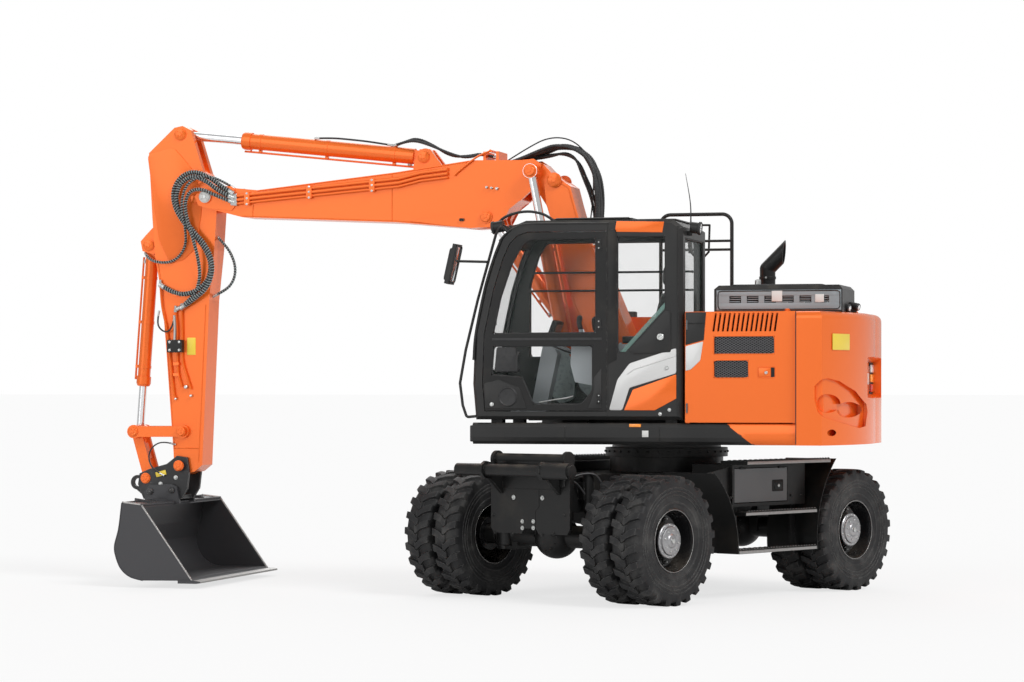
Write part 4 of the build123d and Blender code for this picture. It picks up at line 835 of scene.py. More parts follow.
@dataclass
class Studio:
    """The camera, the pale floor and the soft light, none of them part of the machine."""

    distance: float = 26.1
    bearing: float = 102.1
    height: float = 1.78
    aim: float = 3.0
    lens: float = 103.7
    rise: float = 0.047
    diffuse: float = 0.5

    def camera(self) -> None:
        """Set the camera on a circle about the slewing axis, level, looking a little past the axis."""
        data = bpy.data.cameras.new("camera")
        data.lens, data.shift_y = self.lens, self.rise
        data.clip_end = 2000.0
        made = bpy.data.objects.new("camera", data)
        way = np.radians(self.bearing)
        made.location = SLEW + [self.distance * np.cos(way), self.distance * np.sin(way), self.height]
        made.rotation_euler = (np.pi / 2, 0.0, way + np.pi / 2 + np.radians(self.aim))
        bpy.context.scene.collection.objects.link(made)
        bpy.context.scene.camera = made

    def world(self) -> None:
        """A white surround for the eye and through glass, and a plainer one for what it lights."""
        world = bpy.data.worlds.new("surround")
        bpy.context.scene.world = world
        world.use_nodes = True
        tree = world.node_tree
        tree.nodes.clear()
        seen = tree.nodes.new("ShaderNodeLightPath")
        any_of = tree.nodes.new("ShaderNodeMath")
        any_of.operation = "MAXIMUM"
        tree.links.new(seen.outputs["Is Camera Ray"], any_of.inputs[0])
        tree.links.new(seen.outputs["Is Transmission Ray"], any_of.inputs[1])
        strength = tree.nodes.new("ShaderNodeMix")
        strength.inputs[2].default_value, strength.inputs[3].default_value = self.diffuse, 1.0
        tree.links.new(any_of.outputs[0], strength.inputs[0])
        back = tree.nodes.new("ShaderNodeBackground")
        back.inputs["Color"].default_value = (1.0, 1.0, 1.0, 1.0)
        tree.links.new(strength.outputs[0], back.inputs["Strength"])
        output = tree.nodes.new("ShaderNodeOutputWorld")
        tree.links.new(back.outputs[0], output.inputs[0])

    def lamp(self, name: str, bearing: float, height: float, strength: float, spread: float) -> None:
        """A distant soft lamp; bearing (from ahead), height above the floor and spread are in degrees.

        Args:
            name: its name.
            bearing: degrees from ahead.
            height: degrees above the floor.
            strength: its strength.
            spread: its angle across, in degrees.
        """
        data = bpy.data.lights.new(name, "SUN")
        data.energy, data.angle = strength, np.radians(spread)
        made = bpy.data.objects.new(name, data)
        made.rotation_euler = (0.0, np.radians(90.0 - height), np.radians(bearing))
        bpy.context.scene.collection.objects.link(made)

    def floor(self) -> None:
        """A wide pale floor that the eye sees nearly white, with the machine's shadow on it."""
        mesh = bpy.data.meshes.new("floor")
        reach = 900.0
        mesh.from_pydata([(-reach, -reach, 0), (reach, -reach, 0), (reach, reach, 0), (-reach, reach, 0)], [],
            [(0, 1, 2, 3)])
        g = Graph("pale_floor")
        soft = g.node("ShaderNodeBsdfDiffuse", None, {"Color": (0.8, 0.8, 0.8, 1.0)})
        glow = g.node("ShaderNodeEmission", None, {"Color": (1.0, 1.0, 1.0, 1.0), "Strength": 1.0})
        seen = Value(g, g.node("ShaderNodeLightPath", socket="Is Camera Ray"))
        both = g.node("ShaderNodeMixShader", None, {0: seen * 0.72, 1: soft, 2: glow})
        g.tree.links.new(both, g.output.inputs[0])
        mesh.materials.append(g.material)
        made = bpy.data.objects.new("floor", mesh)
        bpy.context.scene.collection.objects.link(made)

    def build(self) -> None:
        """Set everything up."""
        bpy.context.scene.view_settings.view_transform = "Standard"
        self.camera()
        self.world()
        self.lamp("key", 150.0, 42.0, 1.65, 24.0)
        self.lamp("fill", 62.0, 22.0, 0.75, 50.0)
        self.lamp("far_side", -70.0, 35.0, 0.8, 50.0)
        self.floor()


def dress_solids(nodes: dict[str, bpy.types.Object]) -> None:
    """Give each solid that shows its finish, linked to the object in every material slot.

    Args:
        nodes: the solids by name.
    """
    for (finish, slot), names in SOLID_FINISHES.items():
        for name in names:
            solid = nodes[name]
            if not solid.material_slots:
                solid.data.materials.append(None)
            for holder in solid.material_slots:
                holder.link = "OBJECT"
                holder.material = finish.material()


# ---------------------------------------------------------------- wheels
WHEELS = [("front_left", 1.5, 1), ("front_right", 1.5, -1), ("rear_left", -1.1, 1), ("rear_right", -1.1, -1)]


@dataclass
class Wheels:
    """Twin tyres with staggered lugs, planetary hubs, nuts, and thin bright rings on the rims that are painted
    highlights along their lips.
    """

    radius: float = 0.5375
    twins: tuple[float, float] = (0.817, 1.137)
    lugs: int = 24
    slant: float = 0.52
    half_rim: float = 0.118
    section: tuple = (  # half the section: distance from the middle, radius of the carcass, radius over a lug
        (0.0, 0.515, 0.537), (0.014, 0.515, 0.537), (0.02, 0.5148, 0.537), (0.045, 0.514, 0.5372),
        (0.075, 0.512, 0.537), (0.1, 0.509, 0.5362), (0.118, 0.504, 0.535), (0.129, 0.496, 0.532),
        (0.1345, 0.486, 0.522), (0.1365, 0.472, 0.504), (0.1375, 0.46, 0.484), (0.1378, 0.448, 0.456),)
    wall: tuple = (  # the sidewall with its raised rings, down to the bead and under it
        (0.1378, 0.44), (0.141, 0.437), (0.141, 0.43), (0.1372, 0.427), (0.1365, 0.41), (0.14, 0.407), (0.14, 0.401),
        (0.1352, 0.398), (0.1335, 0.38), (0.1365, 0.377), (0.1365, 0.371), (0.1315, 0.368), (0.1285, 0.333),
        (0.1265, 0.322), (0.13, 0.319), (0.13, 0.309), (0.1245, 0.304), (0.1215, 0.288), (0.119, 0.274),
        (0.117, 0.269), (0.09, 0.2682),)

    def tyre(self, s: Shape, x: float, middle: float) -> None:
        """One tyre: p(a, t) = centre + y(t) Y + (r0(t) + m(a, t) (r1(t) - r0(t))) n(a), with m one on a lug.

        Each side's lugs stand half a pitch from the other's, and lean with the distance from the middle.
        """
        half = np.array(self.section)
        y = np.r_[-half[::-1, 0], half[1:, 0]]
        low, high = (np.r_[half[::-1, k], half[1:, k]] for k in (1, 2))
        ramp = np.array([0.0, 0.045, 0.09, 0.3, 0.41, 0.455, 0.5, 0.545, 0.59, 0.8, 0.91, 0.955])
        phase = (np.arange(self.lugs)[:, None] + ramp).ravel()
        within = phase % 1.0
        flanks = [0.0, 0.045, 0.455, 0.5, 1.0], [0.0, 1.0, 1.0, 0.0, 0.0]
        rise, other = np.interp(within, *flanks), np.interp((within + 0.5) % 1.0, *flanks)
        on_left = np.clip((y + 0.02) / 0.006, 0, 1)[:, None]
        on_right = np.clip((0.02 - y) / 0.006, 0, 1)[:, None]
        lug = np.maximum(rise[None] * on_left, other[None] * on_right)
        lean = self.slant * np.interp(np.abs(y), [0, 0.05, 0.118, 0.14], [0.0, 0.55, 0.85, 0.9])[:, None]
        angle = (phase[None] + lean) * 2 * np.pi / self.lugs
        r = low[:, None] + lug * (high - low)[:, None]
        wall = np.array(self.wall)
        y = np.r_[-wall[::-1, 0], y, wall[:, 0]]
        r = np.vstack([np.repeat(wall[::-1, 1:], len(phase), 1), r, np.repeat(wall[:, 1:], len(phase), 1)])
        angle = np.vstack([np.repeat(angle[:1], len(wall), 0), angle, np.repeat(angle[-1:], len(wall), 0)])
        rows = np.stack([x + r * np.sin(angle), np.broadcast_to(middle + y[:, None], r.shape),
            self.radius - r * np.cos(angle)], -1)
        s.grid(rows, along=True)

    def hub(self, s: Shape, x: float, side: int) -> None:
        """A planetary hub's stepped cover with two rings of bolts, wheel nuts, black lock rings at the rims and thin
        bright rings on their lips that are painted highlights.
        """
        axis, outer = np.array([0.0, side, 0.0]), side * 1.196
        centre = np.array([x, outer, self.radius])
        s.lathe([(-0.004, 0.1), (-0.004, 0.147), (0.01, 0.147), (0.016, 0.141), (0.017, 0.122), (0.03, 0.116),
            (0.034, 0.108), (0.034, 0.06), (0.04, 0.056), (0.046, 0.046), (0.046, 0.0)], centre, axis, 0, 48)
        s.lathe([(0.046, 0.024), (0.056, 0.022), (0.058, 0.0)], centre, axis, 1, 6)
        for count, ring, out, size in ((14, 0.131, 0.013, 0.0075), (8, 0.088, 0.034, 0.008)):
            for a in around(count) + 0.2:
                s.bolt(centre + [ring * np.cos(a), side * out, ring * np.sin(a)], axis, size, 1, False)
        for a in around(10):
            at = [x + 0.188 * np.cos(a), side * 1.103, self.radius + 0.188 * np.sin(a)]
            s.bolt(at, axis, 0.014, 2)
            s.lathe([(0, 0.008), (0.034, 0.008), (0.036, 0.0)], at, axis, 1, 8)
        for middle, way, mat in ((self.twins[1], 1, 3), (self.twins[0], -1, 3), (self.twins[1], -1, 2)):
            y = side * (middle + way * (self.half_rim - 0.003))
            s.tube(arc((x, y, self.radius), 0.2625, 0, 345, X, Z, 64), 0.0065, 2, 8, closed=True)
            # The thin ring beside each lock ring is a painted highlight along the rim's lip in the bright finish,
            # except the inner one, which is black.
            s.tube(arc((x, y + way * side * 0.004, self.radius), 0.2555, 0, 354.4, X, Z, 64), 0.0022, mat, 6,
                closed=True)
        s.tube(arc((x, side * (self.twins[1] + 0.06), self.radius), 0.253, 0, 354.4, X, Z, 64), 0.005, 2, 6,
            closed=True)
        stem = np.array([x + 0.232, side * 1.15, self.radius])
        s.pipe([stem, stem + [0.004, side * 0.03, 0], stem + [0.012, side * 0.055, 0]], 8, 0.004, 1, 8)

    def build(self) -> None:
        """Make both tyres and the hub of each wheel."""
        for name, x, side in WHEELS:
            tyres = Shape()
            for middle in self.twins:
                self.tyre(tyres, x, side * middle)
            piece(tyres, f"lugged_tyres_{name}", f"wheel_{name}", [Finish.RUBBER], Place.TRAVEL,
                [f"tyres_{name}"], np.radians(38))
            hub = Shape()
            self.hub(hub, x, side)
            piece(hub, f"hub_{name}", f"wheel_{name}", (Finish.HUB, Finish.ZINC, Finish.RIM, Finish.BRIGHT_EDGE),
                Place.TRAVEL)


# ---------------------------------------------------------------- boom, arm and their lines
BOOM_Y = -0.11
BOOM_HALF, ARM_HALF = 0.172, 0.13
BOOM_SIDES = (BOOM_Y - BOOM_HALF, BOOM_Y + BOOM_HALF)
HINGE, FOLD_EYE, STICK_BASE, STICK_EYE = (1.2, 3.719), (1.635, 3.324), (2.246, 3.88), (4.581, 4.133)
ARM_PIN, TIP_BASE, ROCKER_PIN, LINK_PIN = (4.315, 3.548), (4.903, 3.113), (4.551, 1.389), (5.032, 1.387)
BUCKET_PIN, CROWD_PIN, LIFT_BASE, FOLD_BASE = (4.57, 1.075), (4.908, 0.957), (0.775, 1.6), (0.93, 2.38)


def at_y(y: float, points: Sequence[Point]) -> np.ndarray:
    """Points from (x, z) pairs at some y."""
    x, z = np.asarray(points, float).T
    return np.c_[x, np.full(len(x), y), z]


@dataclass
class Pins:
    """Caps and bolts of the linkage's pins, and orange covers over the rods' eyes."""

    caps: tuple = (  # body, pin, distance of the face from the boom's middle, radius, finish
        ("upper", (0.305, 1.931), 0.206, 0.07, 0), ("upper", LIFT_BASE, 0.325, 0.06, 0),
        ("base_boom", (1.005, 3.64), 0.186, 0.06, 0), ("base_boom", FOLD_BASE, 0.09, 0.05, 0),
        ("front_boom", FOLD_EYE, 0.198, 0.046, 0), ("front_boom", STICK_BASE, 0.09, 0.052, 0),
        ("front_boom", ARM_PIN, 0.198, 0.05, 2), ("lift_rod", HINGE, 0.2995, 0.046, 0),
        ("arm", STICK_EYE, 0.13, 0.052, 0), ("arm", TIP_BASE, 0.105, 0.05, 0), ("arm", ROCKER_PIN, 0.196, 0.04, 0),
        ("arm", BUCKET_PIN, 0.204, 0.044, 0), ("rocker", LINK_PIN, 0.166, 0.042, 0),
        ("bucket", CROWD_PIN, 0.17, 0.044, 0), ("bucket", (4.64, 0.85), 0.215, 0.026, 1),
        ("bucket", (4.85, 0.835), 0.215, 0.026, 1),
    )
    eyes: tuple = (  # body, pin, radius of the cover, its half width, middles
        ("lift_rod", HINGE, 0.0675, 0.0438, (-0.255, 0.255)), ("fold_rod", FOLD_EYE, 0.0855, 0.0458, (0.0,)),
        ("stick_rod", STICK_EYE, 0.0775, 0.0458, (0.0,)), ("tip_rod", LINK_PIN, 0.0635, 0.0458, (0.0,)),
    )

    def cap(self, s: Shape, pin: Point, face: float, r: float, mat: int) -> None:
        """A stepped cap on each side, with four bolts in it.

        Args:
            s: the shape that it joins.
            pin: (x, z) of the pin.
            face: distance of the face from the boom's middle.
            r: radius of the cap.
            mat: number of its finish in the piece's list.
        """
        for side in (-1, 1):
            at, out = np.array([pin[0], BOOM_Y + side * face, pin[1]]), np.array([0, side, 0])
            s.lathe([(-0.002, 0), (-0.002, r * 1.12), (0.006, r * 1.12), (0.008, r * 0.98), (0.015, r * 0.96),
                     (0.018, r * 0.86), (0.018, 0)], at, out, mat, 40)
            s.lathe([(0.018, r * 0.34), (0.022, r * 0.3), (0.022, 0)], at, out, 3 if mat == 2 else mat, 20)
            for a in (0.8, 2.37, 3.94, 5.51) if r > 0.03 else ():
                s.bolt(at + [r * 0.66 * np.cos(a), side * 0.018, r * 0.66 * np.sin(a)], out, 0.0055, mat, False)

    def build(self) -> None:
        """Caps gathered by the body that carries them, then the eyes."""
        mats = (Finish.ORANGE, Finish.COUPLER, Finish.WHITE, Finish.ZINC)
        for body in dict.fromkeys(row[0] for row in self.caps):
            s = Shape()
            for row in self.caps:
                if row[0] == body:
                    self.cap(s, *row[1:])
            piece(s, f"pin_caps_{body}", body, mats)
        for body, pin, r, h, middles in self.eyes:
            s = Shape()
            for middle in middles:
                s.lathe([(-h, 0.03), (-h, r - 0.006), (0.004 - h, r), (h - 0.004, r), (h, r - 0.006), (h, 0.03)],
                        (pin[0], BOOM_Y + middle, pin[1]), Y, 0, 48)
            piece(s, f"eye_cover_{body}", body, mats)


@dataclass
class Cylinders:
    """Glands, bands, ports and feed pipes of the four pairs and single cylinders."""

    rows: tuple = (  # name, base, rod pin, barrel radius, closed stroke, middles, side on which the pipe runs
        ("lift", LIFT_BASE, HINGE, 0.062, 0.46, (-0.255, 0.255), 1),
        ("fold", FOLD_BASE, FOLD_EYE, 0.08, 0.12, (0.0,), -1),
        ("stick", STICK_BASE, STICK_EYE, 0.072, 0.475, (0.0,), -1),
        ("tip", TIP_BASE, LINK_PIN, 0.058, 0.34, (0.0,), 1),
    )

    def dress(self, s: Shape, base: Point, rod: Point, r: float, stroke: float, middle: float, way: int) -> None:
        """Bands and the gland are bodies of revolution on the barrel's axis, the pipe a tube beside it.

        Args:
            s: the shape that it joins.
            base: (x, z) of the base's pin.
            rod: (x, z) of the rod's pin.
            r: radius of the barrel.
            stroke: what the rod shows when the cylinder is closed.
            middle: distance from the boom's middle.
            way: side that the pipe runs on.
        """
        start = np.array([base[0], BOOM_Y + middle, base[1]])
        run = np.array([rod[0] - base[0], 0.0, rod[1] - base[1]])
        rest = np.linalg.norm(run)
        axis, mouth = run / rest, rest - stroke - r - 0.045
        off = np.cross(axis, Y) * way
        s.lathe([(-0.03, r - 0.002), (-0.027, r + 0.003), (0.012, r + 0.003), (0.016, r + 0.001), (0.022, r - 0.012),
                 (0.022, r - 0.016)], start + axis * mouth, axis, 0, 40)
        for spot in turned(np.arange(8) * np.pi / 4 + 0.3, *square_to(axis)):
            s.bolt(start + axis * (mouth + 0.01) + (r - 0.009) * spot, axis, 0.006, 2, False)
        for d in np.linspace(0.3, mouth - 0.16, 3):
            s.lathe([(-0.014, r - 0.002), (-0.014, r + 0.004), (0.014, r + 0.004), (0.014, r - 0.002)],
                    start + axis * d, axis, 0, 40)
            s.slab(oblong(0.014, 0.017), start + axis * d + off * (r + 0.004), axis, np.cross(off, axis), 0.026, 0,
                   0.003)
        line = ((0.15, -0.004), (0.15, 0.02), (0.185, 0.024), (mouth - 0.125, 0.024), (mouth - 0.075, 0.022),
                (mouth - 0.06, 0))
        s.pipe([start + axis * d + off * (r + o) for d, o in line], 60, 0.0095, 0, 10)
        s.lathe([(0, 0.022), (0.016, 0.022), (0.02, 0.016), (0.02, 0)], start + axis * 0.15 + off * r, off, 2, 6)

    def build(self) -> None:
        """Dress each barrel."""
        for name, base, rod, r, stroke, middles, way in self.rows:
            s = Shape()
            for middle in middles:
                self.dress(s, base, rod, r, stroke, middle, way)
            piece(s, f"{name}_barrel_fittings", f"{name}_barrel", (Finish.ORANGE, Finish.SATIN, Finish.ZINC))


def beads(s: Shape, line: Sequence[Point], faces: Iterable[float], radius: float = 0.0045, mat: int = 0) -> None:
    """Weld beads along an (x, z) line on faces at some y: a tube whose radius ripples along it.

    Args:
        s: the shape that it joins.
        line: (x, z) corners of the seam.
        faces: the y of each face that has it.
        radius: half the width of a bead.
        mat: number of its finish in the piece's list.
    """
    for y in faces:
        path = at_y(y, line)
        path = even(path, max(12, int(travel(path) / 0.012)))
        s.tube(path, radius * (1 + 0.18 * np.sin(np.arange(len(path)) * 2.1)), mat, 6)


@dataclass
class BoomTrim:
    """Seams, doubling plates, brackets, blank plates and the pipework's ends on the booms and the arm."""

    rail: tuple = (2.45, 3.743, -0.0834)  # x, z and slope of the front boom's top edge
    arm_plate: tuple = ((4.905, 3.955), (4.65, 4.015), (4.568, 3.93), (4.455, 3.8), (4.372, 3.6), (4.372, 3.4),
                        (4.43, 3.08), (4.56, 2.96), (4.69, 2.96), (4.79, 3.16), (4.84, 3.48))
    front_seams: tuple = (
        ((1.5, 3.225), (1.778, 3.234), (2.479, 3.3), (3.958, 3.366)), ((1.778, 3.824), (2.479, 3.73), (3.813, 3.591)),
        ((2.52, 3.3), (2.52, 3.722)), ((3.86, 3.35), (3.84, 3.585)))
    base_seams: tuple = (((0.24, 2.01), (0.575, 2.815), (0.8, 3.29), (0.84, 3.43), (0.878, 3.57), (0.98, 3.63)),
                         ((0.385, 1.905), (0.705, 2.29), (0.82, 2.535), (0.925, 2.92), (1.025, 3.3)))
    arm_seams: tuple = (((4.33, 2.56), (4.4, 1.11)), ((4.64, 1.24), (4.708, 2.14), (4.746, 2.6), (4.8, 2.95)),
                        ((4.395, 1.235), (4.64, 1.235)))
    arm_pipes: tuple = (((4.77, 2.74), (4.752, 2.54), (4.7, 2.28), (4.64, 1.76), (4.615, 1.7)),
                        ((4.62, 2.5), (4.605, 2.3), (4.598, 1.96), (4.56, 1.8)),
                        ((4.56, 2.52), (4.555, 2.3), (4.552, 2.05), (4.5, 1.87), (4.47, 1.78)))

    def front(self) -> None:
        """The front boom: seams, a hose bracket on top, clamps, and fittings where the pipes end."""
        s, high = Shape(), BOOM_SIDES[1]
        for seam in self.front_seams:
            beads(s, seam, BOOM_SIDES)
        for x in (1.54, 1.66):
            s.slab(quad(-0.012, 0.012, 0, 0.085), (x, BOOM_Y - 0.15, 3.826), X, Z, -0.3)
        s.tube([[1.6, BOOM_Y - 0.17, 3.915], [1.6, BOOM_Y + 0.17, 3.915]], 0.013, 0, 10)
        s.pipe([(1.6, high - 0.007, 3.915), (1.72, high + 0.018, 3.86), (1.86, high + 0.018, 3.76),
                (1.93, high + 0.018, 3.7)], 30, 0.009, 0, 8)
        for drop, size in ((0.0, 0.014), (0.055, 0.012), (0.105, 0.012)):
            s.lathe([(0, size), (0.02, size), (0.022, size * 0.7), (0.034, size * 0.7), (0.034, 0)],
                    (1.535 + drop * 0.9, high, 3.575 + drop * 0.12), Y, 3, 8)
        x0, z0, slope = self.rail
        for side in (-1, 1):
            y = BOOM_Y + side * (BOOM_HALF + 0.024)
            for r, drop in ((0.015, 0.062), (0.015, 0.1), (0.011, 0.134)):
                s.lathe([(-0.02, 0), (-0.02, r + 0.008), (0.016, r + 0.008), (0.018, r + 0.004), (0.04, r + 0.004),
                         (0.04, 0)], (4.02, y, z0 + slope * (4.02 - x0) - drop), X, 3, 6)
            for x in (2.7, 3.3, 3.9):
                for dz in (-0.15, -0.098, -0.052):
                    s.bolt((x, y + side * 0.02, z0 + slope * (x - x0) + dz), (0, side, 0), 0.007, 3)
        s.block((1.84, high, 3.288), (1.88, high + 0.032, 3.312), 1)
        piece(s, "front_boom_trim", "front_boom", (Finish.ORANGE, Finish.SATIN, Finish.DARK, Finish.ZINC))

    def base(self) -> None:
        """The base boom: seams and the bulkhead of the hoses behind it."""
        s = Shape()
        for seam in self.base_seams:
            beads(s, seam, BOOM_SIDES)
        s.slab(rounded([(0, -0.17), (0, 0.17), (0.09, 0.17), (0.09, -0.17)], 0.015), (0.7, BOOM_Y, 3.035),
               (-0.9, 0, 0.38), Y, 0.018, 0, 0.004)
        for y in np.linspace(-0.13, 0.13, 8):
            s.lathe([(0, 0.017), (0.03, 0.017), (0.032, 0.012), (0.07, 0.012), (0.07, 0)],
                    (0.652, BOOM_Y + y, 3.048), (0.38, 0, 0.92), 1, 6)
        piece(s, "base_boom_trim", "base_boom", (Finish.ORANGE, Finish.ZINC))

    def arm(self) -> None:
        """The arm: doubling plates, seams, feed pipes with bright fittings, a valve block and a blank plate."""
        s, y = Shape(), BOOM_Y + ARM_HALF
        for side in (-1, 1):
            face = BOOM_Y + side * ARM_HALF
            s.slab(rounded([(z, x * side) for x, z in self.arm_plate], 0.05), (0, face, 0), Z, X * side, 0.008, 0,
                   0.003)
            s.slab(rounded([(3.495, 4.41 * side), (3.565, 4.41 * side), (3.565, 4.47 * side), (3.495, 4.47 * side)],
                           0.02), (0, face + side * 0.006, 0), Z, X * side, 0.016, 0, 0.004)
            for seam in self.arm_seams:
                beads(s, seam, [face])
        for line in self.arm_pipes:
            s.pipe(at_y(y + 0.022, line), 40, 0.0095, 0, 10)
            s.lathe([(0, 0.016), (0.03, 0.016), (0.032, 0.012), (0.06, 0.012), (0.06, 0)],
                    (line[0][0], y + 0.022, line[0][1] - 0.01), Z, 3, 6)
        s.block((4.545, y, 2.12), (4.69, y + 0.062, 2.235), 1, 0.006)
        for x, z in quad(4.57, 4.665, 2.14, 2.215):
            s.bolt((x, y + 0.062, z), Y, 0.008, 3)
        s.pipe([(4.62, y + 0.045, 2.235), (4.615, y + 0.05, 2.33), (4.625, y + 0.04, 2.46)], 20, 0.013, 3, 10)
        s.slab(quad(2.095, 2.255, 4.43, 4.515, 0.008), (0, y, 0), Z, X, 0.003, 4, 0.001)
        for x, z, size in ((4.52, 1.8, 0.018), (4.47, 1.72, 0.013), (4.62, 1.69, 0.012)):
            s.lathe([(0, size), (0.03, size), (0.034, size * 0.7), (0.034, 0)], (x, y, z), Y, 3, 6)
        for z in (2.64, 1.9, 2.0):
            s.block((4.585, y, z), (4.64, y + 0.036, z + 0.028))
        piece(s, "arm_trim", "arm", (Finish.ORANGE, Finish.SATIN, Finish.DARK, Finish.ZINC, Finish.YELLOW))

    def build(self) -> None:
        """Dress the three sections."""
        self.front()
        self.base()
        self.arm()


@dataclass(frozen=True)
class Hose:
    """A run of hoses side by side, given by the points of its first one."""

    name: str
    body: str
    radius: float
    route: Sequence[Point]
    bend: tuple = ()
    strands: int = 1
    spread: Point = (0.0, 0.0, 0.0)
    lay: str = "hanging"
    wound: bool = True
    guarded: bool = False


OVER_HINGE = ("base_boom", (1.45, 0, 3.8), (0.7, 0, 3.62))  # second body, and two points where a hose would bend from the first to it; they are passed on but bend nothing
ROUND_ELBOW = ("arm", (4.1, 0, 3.68), (4.45, 0, 3.25))


@dataclass
class Hoses:
    """Free hoses, each a tube on its own smooth route, most wound, some with a spiral guard."""

    pitch: float = 0.024
    runs: tuple = (
        Hose("head_hose", "front_boom", 0.0165, at_y(-0.215, (
            (1.54, 3.78), (1.36, 3.83), (1.16, 3.905), (0.99, 3.96), (0.8, 3.925), (0.69, 3.79), (0.64, 3.6),
            (0.625, 3.34), (0.655, 3.12))), OVER_HINGE, 7, (0, 0.038, 0)),
        Hose("inner_hose", "front_boom", 0.0125, at_y(-0.18, (
            (1.52, 3.8), (1.31, 3.845), (1.12, 3.87), (0.96, 3.9), (0.85, 3.84), (0.78, 3.7), (0.705, 3.49),
            (0.665, 3.26), (0.665, 3.09))), OVER_HINGE, 3, (0, 0.046, 0)),
        Hose("thin_hose", "front_boom", 0.007, (
            (1.5, -0.06, 3.815), (1.3, -0.05, 3.935), (1.08, -0.05, 4.04), (0.86, -0.06, 4.01), (0.7, -0.07, 3.83),
            (0.67, -0.075, 3.56), (0.72, -0.08, 3.22)), OVER_HINGE, wound=False),
        Hose("stick_hose", "front_boom", 0.0135, (
            (1.56, -0.06, 3.852), (1.7, -0.055, 3.905), (1.85, -0.045, 3.865), (1.99, -0.01, 3.885),
            (2.16, 0.015, 3.985), (2.33, -0.02, 4.04), (2.45, -0.06, 4.02), (2.56, -0.09, 3.99)),
             ("stick_barrel", (2.1, 0, 3.95), (2.4, 0, 3.98)), 2, (0, -0.034, 0.004)),
        Hose("barrel_hose", "stick_barrel", 0.01, (
            (2.56, -0.075, 3.995), (2.76, -0.05, 4.03), (2.96, -0.05, 4.055), (3.14, -0.06, 4.075),
            (3.3, -0.08, 4.075)), lay="taut", wound=False),
        Hose("arm_hose", "front_boom", 0.0205, (
            (4.04, 0.086, 3.57), (4.15, 0.092, 3.64), (4.27, 0.092, 3.73), (4.43, 0.08, 3.79), (4.58, 0.066, 3.73),
            (4.65, 0.06, 3.58), (4.6, 0.06, 3.4), (4.45, 0.062, 3.22), (4.32, 0.064, 3.08), (4.255, 0.066, 2.92),
            (4.3, 0.06, 2.76), (4.44, 0.056, 2.665), (4.62, 0.052, 2.65), (4.77, 0.044, 2.745)), ROUND_ELBOW,
             guarded=True),
        Hose("arm_hose_low", "front_boom", 0.0205, (
            (4.04, 0.086, 3.53), (4.16, 0.126, 3.59), (4.28, 0.128, 3.69), (4.42, 0.116, 3.745), (4.55, 0.102, 3.68),
            (4.6, 0.096, 3.55), (4.56, 0.096, 3.4), (4.43, 0.098, 3.24), (4.29, 0.1, 3.09), (4.225, 0.1, 2.92),
            (4.27, 0.096, 2.73), (4.4, 0.09, 2.62), (4.56, 0.052, 2.53)), ROUND_ELBOW, guarded=True),
        Hose("arm_hose_thin", "front_boom", 0.0155, (
            (4.04, 0.084, 3.49), (4.2, 0.15, 3.56), (4.33, 0.152, 3.62), (4.45, 0.138, 3.6), (4.5, 0.132, 3.47),
            (4.46, 0.132, 3.3), (4.41, 0.13, 3.15), (4.37, 0.1, 2.96), (4.37, 0.06, 2.79), (4.44, 0.046, 2.62),
            (4.6, 0.044, 2.52)), ("arm", (4.1, 0, 3.6), (4.45, 0, 3.2)), guarded=True),
        Hose("tip_hose", "front_boom", 0.0115, (
            (4.06, -0.01, 3.622), (4.19, 0.062, 3.72), (4.35, 0.16, 3.74), (4.49, 0.15, 3.64), (4.53, 0.14, 3.45),
            (4.5, 0.1, 3.26), (4.51, 0.06, 3.09), (4.62, 0.048, 2.96), (4.78, 0.048, 2.945), (4.9, 0.03, 2.99),
            (4.945, -0.03, 3.04)), ROUND_ELBOW, guarded=True),
        Hose("arm_loop", "arm", 0.0125, (
            (4.262, -0.06, 3.2), (4.205, -0.05, 3.15), (4.11, -0.045, 3.04), (4.06, -0.045, 2.9),
            (4.08, -0.045, 2.78), (4.16, -0.05, 2.69), (4.285, -0.06, 2.64)), guarded=True),
        Hose("coupler_hose", "arm", 0.0075, (
            (4.63, 0.032, 1.27), (4.71, 0.098, 1.3), (4.81, 0.108, 1.265), (4.862, 0.108, 1.18),
            (4.85, 0.108, 1.09), (4.79, 0.098, 1.02), (4.725, 0.074, 0.985)),
             ("bucket", (4.66, 0, 1.28), (4.8, 0, 1.08)), wound=False),
        Hose("valve_hose", "arm", 0.0085, (
            (4.78, 0.046, 2.5), (4.8, 0.052, 2.4), (4.765, 0.06, 2.33), (4.69, 0.066, 2.3), (4.64, 0.064, 2.36),
            (4.625, 0.056, 2.45))),
    )

    def route(self, points: np.ndarray) -> np.ndarray:
        """Points along the NURBS spline that has these control points, in the frame of the upper works.

        Args:
            points: control points.

        Returns:
            Points along it.
        """
        data = bpy.data.curves.new("route", "CURVE")
        data.dimensions, data.resolution_u = "3D", 24
        line = data.splines.new("NURBS")
        line.points.add(len(points) - 1)
        line.points.foreach_set("co", np.c_[points, np.ones(len(points))].astype(np.float32).ravel())
        line.order_u, line.use_endpoint_u = 3, True
        holder = bpy.data.objects.new("route", data)
        mesh = bpy.data.meshes.new_from_object(holder)
        found = np.zeros(len(mesh.vertices) * 3, np.float32)
        mesh.vertices.foreach_get("co", found)
        bpy.data.objects.remove(holder)
        bpy.data.curves.remove(data)
        bpy.data.meshes.remove(mesh)
        return found.reshape(-1, 3).astype(float)

